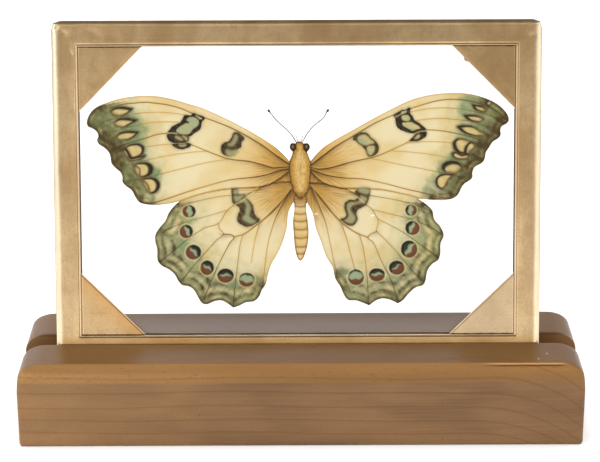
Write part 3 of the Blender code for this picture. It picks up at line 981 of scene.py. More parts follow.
@dataclass
class CornerPlate:
    """A right triangle of sheet brass with a hem along its long side."""

    lean: Lean
    corner: str
    legs: tuple[float, float]
    warm: float  # how golden it is near its long side
    # how much darker its tone is
    tarnish: float
    step: float  # how dark the painted shade line behind its hem is
    hem: float
    drop: float = 0  # where along its long side a drop of solder sits, 0 for none
    pale: float = 0  # how polished its face is
    opening: tuple[float, float] = (152.4 * MM, 101.4 * MM)
    middle: float = 59.7 * MM
    gap: float = 0.03 * MM
    back: float = 6.4 * MM
    thickness: float = 0.7 * MM
    step_width: float = 0.13 * MM
    drop_reach: float = 0.85 * MM
    drop_bulge: float = 0.55 * MM

    def relief(self, away: Array, from_side: Array, from_end: Array) -> Array:
        """The sheet's thickness by its distance from the long side and from the two legs.

        It rises by a quarter circle at the long side to a flat hem, drops by a fine step behind
        it, and is rounded a little towards the two legs.
        """
        edge = 0.3 * MM
        lift = np.sqrt(np.clip(1 - (1 - np.clip(away / edge, 0, 1)) ** 2, 0, 1))
        step = bell(away, self.step_width, self.hem)
        leg = np.minimum(from_side, from_end)
        brim = fall(leg, 0.18 * MM, 0.42 * MM)
        return self.thickness * (0.25 + 0.75 * lift) - 0.07 * MM * step - 0.12 * MM * brim * lift

    def build(self) -> Piece:
        """The plate as rows parallel to its long side, which shrink to a point in its corner."""
        rise, side = self.corner.split("_")
        sign_x = -1 if side == "left" else 1
        sign_z = 1 if rise == "top" else -1
        across, up = self.legs
        long_side = math.hypot(across, up)
        reach = across * up / long_side
        near = np.concatenate([[0, 0.03], np.linspace(0.08, 1.4, 20)]) * MM
        rows = np.concatenate([near, np.linspace(1.8 * MM, reach, 40)])
        swing = (1 - np.cos(np.linspace(0, np.pi, 91))) / 2
        shrink = (1 - rows / reach)[:, None]
        a = across * shrink * swing[None, :]
        b = up * shrink * (1 - swing[None, :])
        away = np.broadcast_to(rows[:, None], a.shape)
        height = self.relief(away, a, b)
        if self.drop:
            along = (a / (a + b + 1e-9) - self.drop) * long_side
            bulge = np.exp(-((along / self.drop_reach) ** 4)) * np.clip(1 - away / (1.2 * MM), 0, 1)
            a = a + bulge * self.drop_bulge * up / long_side
            b = b + bulge * self.drop_bulge * across / long_side
        x = sign_x * (self.opening[0] / 2 - self.gap - a)
        z = self.middle + sign_z * (self.opening[1] / 2 - self.gap - b)
        front = self.lean.place(np.stack([x, -self.back - height, z], -1))
        behind = self.lean.place(np.stack([x, 0 * x - self.back, z], -1))
        piece = self.close(front, behind)
        self.colour(piece, sign_x, sign_z, reach)
        return piece

    def close(self, front: Array, behind: Array) -> Piece:
        """Join the front grid and the back grid round their rims into one closed slab."""
        rows, columns = front.shape[:2]
        count = rows * columns
        quads = grid_quads(rows, columns)
        number = np.arange(count).reshape(rows, columns)
        rim = np.concatenate([number[0, :], number[1:, -1], number[-1, -2::-1], number[-2:0:-1, 0]])
        ahead = np.roll(rim, -1)
        sides = np.stack([ahead, rim, rim + count, ahead + count], 1)
        faces = np.vstack([quads, quads[:, ::-1] + count, sides])
        points = np.vstack([front.reshape(-1, 3), behind.reshape(-1, 3)])
        return make_piece(f"corner_sheet_{self.corner}", points, faces.tolist(), 50, weld=0.002 * MM)

    def colour(self, piece: Piece, sign_x: float, sign_z: float, reach: float) -> None:
        """Paint shade into the step behind the hem, the joints at the legs and the plate's edges, paint
        highlights along the hem, and warm the long side.
        """
        local = self.lean.take(mesh_points(piece.data))
        a = self.opening[0] / 2 - self.gap - sign_x * local[:, 0]
        b = self.opening[1] / 2 - self.gap - sign_z * (local[:, 2] - self.middle)
        across, up = self.legs
        away = reach * (1 - a / across - b / up)
        # painted shade: the step behind the hem, the joints at the legs under the rail's lip, the side leg
        # and the edge past the long side
        step = bell(away, self.step_width, self.hem) * self.step
        ragged = 0.5 + 0.5 * ripple((a + 0.3 * b) / (0.6 * MM), seed=float(len(self.corner)))
        joint = fall(b, 0.2 * MM, 0.36 * MM + 0.3 * MM * ragged**2) * (0.55 + 0.45 * ragged)
        side = fall(a, 0.15 * MM, 0.36 * MM) * 0.4
        beyond = ease(-away, 0.02 * MM, 0.3 * MM) * 0.5
        # painted highlight: shine along the hem and near the side leg
        shine = np.clip(bell(away, 0.14 * MM, 0.1 * MM) + bell(a, 0.1 * MM, 0.55 * MM), 0, 1)
        set_attributes(
            piece,
            crease=np.clip(step + joint + side + beyond, 0, 0.95),
            gold=np.exp(-away / (4.5 * MM)) * self.warm,
            tarnish=np.full(len(a), self.tarnish),
            polish=np.maximum(shine * (0.7 - self.tarnish), self.pale),
        )


# --- The butterfly


@dataclass(frozen=True)
class Drawing:
    """The ruled front view on which the butterfly's curves were read: columns right, rows down."""

    centre: Point = (297.4, 190.9)
    column: float = 0.3509 * MM
    row: float = 0.3523 * MM
    spread: float = 0.0000566
    turn: float = 0.0035

    def to_sheet(self, squares: Array) -> Array:
        """Squares to metres right of and above the opening's middle, by the ruled view's turn and spread."""
        across, down = squares[:, 0] - self.centre[0], squares[:, 1] - self.centre[1]
        level_x, level_y = across - self.turn * down, down + self.turn * across
        spread = 1 + self.spread * level_y
        return np.stack([level_x * self.column * spread, -level_y * self.row * spread], 1)

    def from_sheet(self, places: Array) -> Array:
        """Metres to squares: the way back, by repeated correction."""
        squares = np.stack([places[:, 0] / self.column, -places[:, 1] / self.row], 1) + self.centre
        for _ in range(6):
            missed = places - self.to_sheet(squares)
            squares = squares + np.stack([missed[:, 0] / self.column, -missed[:, 1] / self.row], 1)
        return squares


@dataclass(frozen=True)
class Vein:
    """A vein from the wing's margin towards its root."""

    path: Path
    dark: Triple = (0.55, 0.12, 0.7)  # at the margin, half way and at the root
    width: float = 0.33


@dataclass(frozen=True)
class Spot:
    """A pale spot with a thin rim and a dark crescent towards one side."""

    outline: Path
    crescent: Point  # how far the crescent's inner edge is shifted away from it
    fold: Path = ()


@dataclass(frozen=True)
class Bar:
    """A dark bar with lighter fills inside it; soft is how blurred its outer edge is."""

    outline: Path
    fills: tuple[Path, ...]
    soft: float = 0.6
    depth: float = 0.95  # how black it is
    shade: float = 0.05  # how dark the fills are
    light: float = 0.5  # how creamy the fills are
    blur: float = 0.8  # how blurred the fills' edges are


@dataclass(frozen=True)
class Eye:
    """An eyespot: a black crescent towards one angle, mint in the middle and rust opposite."""

    centre: Point
    radii: Point
    towards: float
    black: float
    rust: float


LEFT_VEINS = (
    Vein((111, 107.8, 124, 104.2, 134, 103.2, 144.7, 102.2, 153.9, 103, 165.3, 104.5, 175.3, 106.7, 186.6,
     110.7, 192.4, 113.5, 204.9, 117.8, 217.3, 122.3, 229.8, 127.3, 241.4, 133.1, 254.6, 140.6, 264.6,
     146.8, 272.9, 153, 281.2, 158.8, 288.6, 163.8), (0.5, 0.45, 1), 0.52),
    Vein((100.3, 123.7, 108, 120.5, 122.5, 116.8, 138.6, 113.3, 157.7, 112.2, 176.8, 113.6, 184.5, 115),
     (0.6, 0.2, 0.1)),
    Vein((98.8, 135.9, 117.1, 130.2, 134.7, 126, 150, 122.7, 169.2, 121.8, 179.1, 122), (0.6, 0.25, 0.1)),
    Vein((111.8, 149.7, 126.3, 143.9, 143.1, 139, 157.7, 134.4, 165.3, 133.4, 173, 133.6, 178.3, 136.7,
     186.8, 142.4, 200, 148.2, 217.3, 155.1, 226.4, 158.4, 233.1, 159.7, 250.5, 161.7, 266.2, 165.9, 272.9,
     167.9, 281.2, 167.5, 289.5, 167.1), (0.6, 0.3, 1), 0.52),
    Vein((118, 149.5, 130, 148, 147.7, 146.6, 157.7, 145.2, 176, 143.6), (0.2, 0.08, 0.1)),
    Vein((122, 166, 144.7, 160.8, 163, 156.6, 184.5, 153.1, 199.9, 151.5, 207.4, 151.4), (0.45, 0.1, 0.1)),
    Vein((127.8, 181, 141.6, 178.8, 161.5, 173.8, 184.5, 168, 204.9, 163, 226.4, 159.4), (0.6, 0.2, 0.05)),
    Vein((140, 203.4, 151.6, 203.1, 161.5, 200.6, 184.5, 192.9, 204.9, 186.6, 229.8, 180, 254.6, 177.1,
     265.4, 175.2, 281.2, 170.3, 288.6, 169.2), (0.6, 0.25, 0.95), 0.52),
)
RIGHT_VEINS = (
    Vein((505.5, 119, 498.7, 113, 492.6, 108.7, 479.6, 103.6, 461.2, 99.9, 441.3, 100.3, 421.4, 105.3,
     401.9, 112, 377.1, 122.3, 353, 136.4, 335.6, 146.8, 319, 159.2, 310.7, 165.5), (0.6, 0.4, 1), 0.52),
    Vein((503.5, 125, 494.1, 117.5, 478, 112.6, 462.7, 109.5, 441.3, 108, 419.9, 110, 410.7, 112.2), (0.6,
     0.3, 0.1)),
    Vein((500, 133.5, 490.3, 128.3, 475, 122.5, 456.6, 119.7, 436.7, 118.5, 416.1, 120.6), (0.6, 0.3,
     0.15)),
    Vein((491, 148.5, 484.2, 142.8, 476.5, 139, 459.7, 134.4, 441.3, 130.9, 425.2, 130.2, 418.4, 131.7,
     409.5, 141, 396.1, 148, 377.9, 155.9, 369.6, 158.2, 351.4, 162.1, 333.9, 167.1, 325.7, 168.8, 317.4,
     169.2, 311.1, 167.5), (0.6, 0.25, 1), 0.52),
    Vein((453, 143.2, 440.6, 142, 420.7, 142, 406, 143.4), (0.2, 0.08, 0.1)),
    Vein((484, 160.5, 468, 160, 452, 158.6, 432.1, 154.7, 409.9, 152.1, 392, 150.9), (0.4, 0.1, 0.1)),
    Vein((471.5, 179, 462.7, 177.6, 452.8, 174.9, 438.3, 172.2, 419.9, 168.4, 400.3, 164.6, 379.6, 160.1,
     370.4, 158.4), (0.5, 0.2, 0.05)),
    Vein((452, 198.6, 442.8, 197.9, 423, 192.9, 406.1, 189.1, 383.7, 183.3, 363, 179.1, 343.1, 177.9, 325.7,
     175, 318.2, 172.5, 311.1, 169.6), (0.6, 0.25, 0.95), 0.52),
)
LEFT_HIND_VEINS = (
    Vein((172, 209.5, 181.6, 205.8, 199.8, 200.6, 222.7, 196.1, 243.8, 194.4, 251.4, 192.4), (0.6, 0.3,
     0.4)),
    Vein((162.4, 232.6, 169.1, 228.8, 181.6, 223.5, 199.8, 218.3, 226.6, 210.4), (0.7, 0.15, 0.2)),
    Vein((160, 262, 174.9, 249.9, 190.2, 237.4, 205.5, 227.8, 218.7, 223.3, 226.6, 211.4, 238, 202, 251.4,
     192.4, 261, 187), (0.85, 0.35, 0.55)),
    Vein((183, 279.5, 191.1, 269, 204.5, 253.7, 217, 239.8, 223.4, 233.8, 219.9, 228.8, 218.7, 223.3), (0.8,
     0.55, 0.25)),
    Vein((204, 299.5, 211.2, 281.4, 220.8, 260.4, 230.4, 242.2, 234, 236.9, 223.4, 233.8), (0.85, 0.6,
     0.75)),
    Vein((233.3, 305, 235.2, 285.3, 238, 262.3, 240.4, 243.2, 242.8, 235.2), (0.8, 0.4, 0.2)),
    Vein((251.4, 262.3, 254.8, 241.2, 257.2, 231.7, 259.3, 224.5), (0.05, 0.1, 0.45)),
    Vein((234, 236.9, 243.8, 234.2, 254.3, 226.9, 262.6, 220.5, 274.9, 209.3, 287.2, 195.2, 291.3, 189.4),
     (0.25, 0.55, 1), 0.6),
    Vein((262.5, 290, 265.5, 261.5, 268.4, 242.2, 274.9, 220.5, 286, 198.2, 291, 190.5), (0.35, 0.25, 1)),
    Vein((262, 190.2, 252, 190.4, 240, 190.6), (0.3, 0.1, 0.1)),
    Vein((255.5, 191.6, 262.9, 186.2, 280, 182.5, 290.5, 181.8), (0.3, 0.3, 0.8), 0.7),
)
RIGHT_HIND_VEINS = (
    Vein((432, 212, 421.5, 207.2, 401.8, 201.3, 381, 197.3, 360.2, 193.8, 350.4, 191.9), (0.65, 0.35, 0.7)),
    Vein((441, 234, 431.4, 227.9, 411.6, 219.5, 390.9, 214.1, 372.3, 209.4), (0.85, 0.35, 0.2)),
    Vein((438, 257, 422.5, 246.2, 404.7, 233.4, 386.9, 223.5, 378.1, 218.8, 372.3, 209.4, 364.2, 203.2,
     354.3, 193.8, 346.4, 188.9), (0.85, 0.3, 0.5)),
    Vein((424.5, 282, 412.6, 270.9, 396.8, 252.2, 382, 236.3, 376.8, 231.2, 378.3, 222.5, 378.1, 218.8),
     (0.8, 0.4, 0.2)),
    Vein((397.6, 300.5, 390.9, 279.8, 381, 260.1, 373.1, 242.3, 368.1, 237.3, 376.8, 231.2), (0.85, 0.45,
     0.5)),
    Vein((368.5, 304, 367.2, 276.9, 364.2, 253.2, 362.2, 243.3, 359.7, 235), (0.75, 0.35, 0.35)),
    Vein((354.8, 268.5, 349.9, 251.2, 346.9, 239.3, 342, 224.5), (0.3, 0.3, 0.5)),
    Vein((368.1, 237.3, 358.3, 233.9, 344.4, 225, 337.5, 218.6, 322.7, 200.8, 311.3, 186.9), (0.3, 0.55, 1),
     0.6),
    Vein((342, 288, 336.5, 271.9, 330.6, 245.2, 324.7, 219.5, 315.8, 197.8, 311.3, 187.9), (0.35, 0.25, 1)),
    Vein((346.4, 189, 333.9, 186.6, 322, 183.8, 311.5, 183), (0.3, 0.4, 0.9), 0.7),
)
FOREWING_EDGES = (
    (170, 205.2, 180, 201.1, 190, 197.4, 200.7, 194.1, 213.2, 191.3, 223.9, 189.5, 236.4, 188.4, 250.5,
     187.8, 259.6, 187, 267.9, 185.4, 274.5, 182, 282, 177.1, 288.6, 172.1),
    (424, 200, 412.7, 196.1, 401.9, 193.7, 392, 191.6, 382.9, 189.9, 372.9, 189.1, 362.1, 188.7, 351.4,
     188.5, 341.4, 188.3, 333.9, 186.6, 326.5, 184.5, 320.7, 181.2, 314.9, 176.2, 310.7, 171.7),
)
SPOTS = (
    Spot((110.6, 111.8, 114.1, 108.4, 121.7, 107, 133, 108.4, 127.8, 113, 121, 115.6, 114.8, 115.2), (-1.6,
     1.3)),
    Spot((114.3, 122.9, 117.9, 119.5, 126.3, 118.2, 137.8, 119.8, 130.9, 123.7, 124, 127, 117.1, 126),
     (-2.2, 1.2)),
    Spot((116.5, 136.7, 120.2, 133.2, 128.6, 131.3, 138.9, 131.7, 134, 136.7, 126.3, 139.7, 118.7, 139.3),
     (-1.6, 1.1)),
    Spot((122.9, 150.4, 125.6, 148.1, 128.6, 152.7, 130.9, 157.3, 138.6, 156.6, 145.8, 155.4, 143.1, 158.1,
     137, 160, 130.1, 160.4, 126.3, 155.8), (-0.5, 0.6)),
    Spot((125.6, 147.4, 130.9, 144.7, 138.6, 143.9, 143.5, 146.6, 143.9, 150.4, 142, 154.3, 137, 156.6,
     131.7, 157.3, 128.6, 152.7), (-1.4, 0.7), (126.6, 149.5, 131.5, 157)),
    Spot((133.6, 165.7, 137.8, 163.5, 143.9, 162.7, 150, 163.8, 152.7, 167.3, 151.9, 172.6, 148.5, 175.7,
     142.4, 176.8, 137.8, 175.7, 135.5, 171.9, 134.4, 168), (-3.2, 0.6), (135.5, 166, 139.5, 168.5, 140,
     175)),
    Spot((141.2, 180.7, 144.7, 178.8, 150, 178, 156.2, 179.1, 159.6, 183.3, 159.2, 187.9, 156.2, 191.8,
     152.3, 193.3, 148.5, 191.8, 145.4, 187.2, 143.1, 183.3), (-2.4, 0.4), (144, 181, 147.5, 184.5, 149.5,
     190)),
    Spot((485.2, 103.2, 488.6, 99.9, 492, 103.2, 488.6, 106.6), (0.8, 0.4)),
    Spot((472.3, 104.5, 476.5, 105.3, 482.6, 106.8, 486.5, 110.3, 483.4, 111.8, 478.8, 111, 474.2, 108.4),
     (2, 0.9)),
    Spot((463.9, 115.6, 468.9, 115.2, 475.7, 115.6, 483.8, 119.1, 480.3, 121.8, 474.2, 121.4, 468.1, 119.5),
     (2.6, 0.8)),
    Spot((457, 126.7, 463.5, 125.6, 471.2, 126.3, 478, 129.8, 484.9, 135.1, 478, 135.9, 470.4, 135.1, 462.7,
     131.7), (3, 0.8)),
    Spot((465.8, 146.6, 468.9, 142.8, 473.8, 142.8, 474.6, 147.4, 470.4, 151.2, 467.3, 154.3, 464.7, 153.5),
     (1.2, 0.3)),
    Spot((452, 153.5, 455.1, 152.4, 461.2, 155, 467.3, 154.3, 470.4, 155, 466.6, 158.5, 460.4, 159.2, 454.3,
     157.3), (0.6, 0.5)),
    Spot((453.6, 142.8, 456.6, 139.7, 463.5, 139.3, 470.4, 142, 465.8, 147.4, 464.3, 153.5, 459.7, 153.5,
     455.1, 149.7), (1.9, -0.6), (469.8, 142.6, 465.8, 147.4, 464.6, 153)),
    Spot((442.2, 167.3, 445, 163, 451.8, 161.2, 458.6, 163, 461.4, 167.3, 458.6, 171.6, 451.8, 173.4, 445,
     171.6), (1.8, 2.2)),
    Spot((436, 181.8, 437.5, 177.2, 442.8, 174.5, 452.8, 174.9, 448.2, 180.3, 445.1, 186.4, 441.7, 189.1,
     437.5, 186.4), (0.8, 0.3)),
)
BARS = (
    Bar((168.3, 132.8, 170, 129.5, 172.5, 126.5, 176.5, 124.3, 180.5, 122.3, 182.5, 119.5, 183.5, 117,
     185.5, 115, 192, 115, 192.5, 113.2, 198, 114.8, 204.8, 118.3, 203, 120.8, 201.8, 122.3, 201.3, 126.5,
     199.5, 130, 195, 132.8, 192, 135.3, 188.8, 136.8, 183, 135.2, 179, 135, 175.5, 134), ((188, 118, 191,
     116.8, 195, 117.5, 198, 119.5, 199.3, 122, 198.5, 125, 196, 127.5, 193, 129.5, 191, 132.5, 188, 134.5,
     183.5, 134.5, 179, 133.5, 176.3, 131.5, 177, 129, 180, 126.5, 183.5, 124.3, 186, 123, 189, 122.5,
     186.5, 120.5), (195.5, 115.4, 200, 116.8, 202.6, 118.5, 200.2, 119.6, 197.3, 117.4)), 0.5, 0.95, 0.02,
     0.45, 0.7),
    Bar((167.5, 133.6, 167.3, 137, 168.5, 140, 172, 142.3, 175, 143, 184, 142.8, 187, 142, 188.8, 140.3,
     189, 137, 185, 135.2, 179, 134.6, 175.5, 133.9, 171.5, 133.2), ((175, 136.3, 178.5, 135.8, 181.5,
     137.5, 183.5, 139.8, 181, 140.8, 177.5, 139.5, 175, 137.8), (182, 136, 187, 137, 188, 139.5, 186.5,
     140.8, 184, 138.5)), 0.5, 0.88, 0.3, 1.2, 1.5),
    Bar((172, 144.7, 175, 143.9, 184, 143.7, 188, 143, 191.5, 144.5, 189.5, 147, 186, 148.5, 182, 149.3,
     177.5, 148.5, 174, 146.5), ((178.5, 145, 182.5, 144.3, 186.5, 144.6, 185.5, 146.5, 181, 146.8),), 0.5,
     0.9, 0.3, 1, 1.1),
    Bar((234.3, 132.5, 237.5, 132.3, 241.5, 135, 244.5, 139, 242, 141.5, 241, 147, 237.5, 149.5, 234, 152,
     231.5, 156, 228.5, 156.3, 224, 154.5, 221.3, 151, 221.5, 146, 224, 143, 228.5, 141.5, 231.5, 138),
     ((234.5, 135, 237.5, 135, 238, 139, 236.5, 142.5, 234, 146, 230, 146.5, 227.5, 145, 231, 142, 233.5,
     138), (226.5, 149.5, 231.5, 150, 238, 150.5, 235, 156, 229, 157, 225.5, 152.5)), 0.8, 0.8, 0.34, 0.5,
     1.9),
    Bar((393.8, 115.5, 397, 113, 401.5, 110.5, 406.5, 109.5, 410, 108, 410, 111.5, 410.5, 114, 412.5, 116,
     414.5, 120.3, 419, 123, 423, 126.5, 426, 129.6, 419, 131, 416, 132.5, 412, 133.5, 407.5, 132.5, 404,
     131, 400, 129.3, 397, 126, 395.8, 122, 395.5, 118.5, 394, 117), ((401, 112.5, 404, 111, 407, 111, 406,
     113, 402.5, 114), (402, 116, 405, 115, 408.5, 115.5, 410.3, 118, 410, 120.5, 406.5, 121.3, 403, 120.3,
     401.5, 118), (402.5, 123, 406.5, 122.2, 411.5, 122, 415, 123.8, 419, 126, 420.5, 128.5, 417, 129.5,
     413, 131, 409.5, 129.5, 405, 127, 402.5, 125)), 0.6, 0.92, 0.02, 1.5, 0.8),
    Bar((410, 141.3, 413, 137.5, 416, 134.5, 419, 132.7, 423, 132, 426.5, 131.7, 427, 134, 425, 137.5,
     421.5, 139.5, 419, 141, 413, 141.3), ((414.5, 139, 416.5, 136, 419.5, 134.2, 420.5, 135.7, 419.5, 138,
     417, 139.3),), 0.5, 0.92, 0.12, 1.3, 1.1),
    Bar((353.5, 140, 353.5, 137, 355.5, 135, 359, 133.3, 363.5, 132.5, 367, 133, 369.5, 135.5, 371.5, 138,
     374.5, 140, 377, 143, 378.8, 147, 378.5, 151, 376, 154.5, 373, 156, 369, 156.5, 367.5, 155, 366, 151,
     364.5, 148.5, 361.5, 145.5, 358, 143, 355.5, 140.5), ((358, 137, 361, 135, 365, 134.5, 368, 136, 370.5,
     139, 373.5, 141, 374.5, 143, 370.5, 144.5, 365.5, 145.8, 361.9, 144.6, 358, 141.5), (367, 147, 371.5,
     145.5, 374.5, 146, 375, 149.5, 373.5, 153.5, 370, 155.5, 368, 154, 366.8, 150.5)), 0.7, 0.76, 0.1, 1.1,
     1.2),
    Bar((232, 189.3, 237.5, 189, 238.5, 194, 245, 194.5, 246, 197.5, 250, 201.5, 253, 206, 253.8, 210,
     254.5, 214, 257.5, 217.5, 260, 220, 256, 223.5, 251, 226, 247, 226.8, 242.5, 225, 238.5, 222.5, 237.3,
     218.5, 238.5, 214, 240, 210.5, 239.5, 207.5, 237, 205.5, 234, 204, 232.3, 201, 232, 195), ((234, 190,
     238.3, 190, 238.3, 193.8, 234, 194), (234.3, 196, 238, 195.5, 244.5, 195.5, 242.5, 198, 238.5, 201.5,
     236, 202, 234.3, 199.5), (239.5, 202, 242.5, 199.5, 245.5, 198.5, 249, 202.5, 251, 207, 250.5, 212,
     250, 216, 253, 219, 256, 221.5, 251.5, 224, 247, 222.5, 243, 220, 242.5, 217, 245, 214, 245.5, 210,
     246, 206, 244.5, 203)), 0.8, 0.68, 0.26, 0.25, 1.8),
    Bar((358, 189.4, 370, 189.4, 370, 193.5, 369.5, 196, 368.5, 200, 367, 203.5, 366, 205, 363, 207, 359,
     209, 357, 211, 356.5, 214, 357.5, 218, 357, 221, 355, 224, 352.5, 225.8, 348.5, 225.3, 345, 223.3,
     342.5, 221, 340.5, 219.5, 344, 218, 346.3, 216, 345.8, 212, 344.5, 208, 344.8, 204, 346.8, 201.5, 350,
     200, 355, 200, 357.5, 198, 357, 195.5, 355, 193.5), ((358, 190, 370, 190, 368.6, 194, 363, 193.8),
     (360.5, 195.5, 363, 196, 366.5, 197.5, 367, 200.5, 365, 202.3, 362, 203.5, 357, 204.5, 353, 206, 351,
     208.5, 351.5, 211, 353.5, 214, 355.5, 217, 355, 221, 352, 223.5, 348, 223, 344.5, 220.8, 347, 218.5,
     348.3, 216, 347.8, 212, 346.8, 208, 347.5, 204, 350, 202.3, 355, 202, 359, 200.5, 360, 198)), 0.9, 0.7,
     0.26, 0.55, 1.5),
)
LIGHT_STROKES = (  # thin pale lines where veins cross the bars
    (167, 133.3, 171.5, 133, 177, 133.8),
    (233.8, 204.8, 238.3, 203, 246.8, 197.2, 258.5, 188.2),
    (390.9, 119.1, 397.2, 116.3, 402.5, 113.6),
    (356.5, 196.5, 359.8, 198.9, 364.6, 203.4),
)
EYES = (
    Eye((189.2, 211.4), (6.2, 5.9), 10, 0.5, -0.35),
    Eye((186.4, 231.5), (6.3, 6.4), 25, 0.45, -0.1),
    Eye((193.5, 252.2), (7.4, 7), 40, 0.3, -0.1),
    Eye((207.2, 267.8), (6.4, 6.9), 62, 0.25, -0.1),
    Eye((225.6, 275.7), (7.9, 6.7), 90, 0.25, -0.08),
    Eye((246.8, 279.8), (7.6, 6.6), 80, 0.72, -0.38),
    Eye((411.2, 210.4), (5.4, 5.4), 175, 0.55, -0.3),
    Eye((412.6, 228.1), (6.8, 6.8), 155, 0.4, -0.12),
    Eye((409.2, 249.2), (7.8, 8.3), 145, 0.25, -0.3),
    Eye((396.8, 267.8), (7.4, 6.7), 128, 0.25, -0.02),
    Eye((377, 274.9), (7.6, 6.2), 98, 0.3, -0.1),
    Eye((356, 277.4), (7.8, 7.4), 95, 0.8, -0.25),
)


@dataclass(frozen=True)
class Wing:
    """One wing's painted border: its scalloped margin and the line that the green reaches inward."""

    margin: tuple[Point, Point]  # where the border starts and ends on the butterfly's outline
    reach: Path
    root: Point
    hind: bool
    veins: tuple[Vein, ...]
    green: float  # how much more green the margin has than the line it reaches
    teal: float
    teal_at: float
    olive: float
    fading: float  # how much paler the border is at its end than at its start
    arcs: tuple[Triple, ...]  # distance from the margin, half width and strength
    patches: tuple[Triple, ...]


FORE_BORDER = {
    "green": 0.66, "teal": 0.62, "teal_at": 0.4, "olive": 0.95, "fading": 0.3,
    "arcs": ((5.5, 1.2, 0.35),),
    "patches": ((3.4, 1.4, 0.4),),
}
HIND_BORDER = {
    "green": 0.5, "teal": 0.5, "teal_at": 0.45, "olive": 0.34, "fading": 0,
    "arcs": ((6.6, 1.2, 0.72), (14, 1.8, 0.62)),
    "patches": ((3.2, 1.3, 0.62), (10, 2, 0.72)),
}
WINGS = (
    Wing(((100, 106), (152, 205)), (132, 99.5, 144, 106, 150, 113, 155, 119, 160.5, 129, 156, 139, 155.5,
     146, 157.5, 154, 168, 164, 173.5, 172, 170, 184, 163, 193, 158, 199, 156, 203.5), (290, 167), False,
     LEFT_VEINS, **FORE_BORDER),
    Wing(((487, 98.8), (432, 200.2)), (484, 91, 468, 90.5, 455, 93.5, 451.5, 104, 449, 112, 451, 121, 446,
     131, 447, 141, 443, 150, 433, 157, 429, 166, 423, 175, 419, 184, 419, 191, 420, 197), (310.5, 167),
     False, RIGHT_VEINS, **FORE_BORDER),
    Wing(((176, 204), (264.5, 287)), (205, 198.5, 196, 205, 203, 212, 205, 222, 200, 231, 210, 238, 214,
     246, 217, 254, 224, 259, 236, 263, 247, 268, 257, 270, 264, 274), (291, 188), True, LEFT_HIND_VEINS,
     **HIND_BORDER),
    Wing(((425.5, 203.7), (335, 278)), (398, 200.5, 400, 208, 396, 217, 395, 227, 392, 237, 386, 245, 382,
     252, 373, 259, 363, 264, 352, 264, 342, 263, 336, 266), (311, 188), True, RIGHT_HIND_VEINS,
     **HIND_BORDER),
)


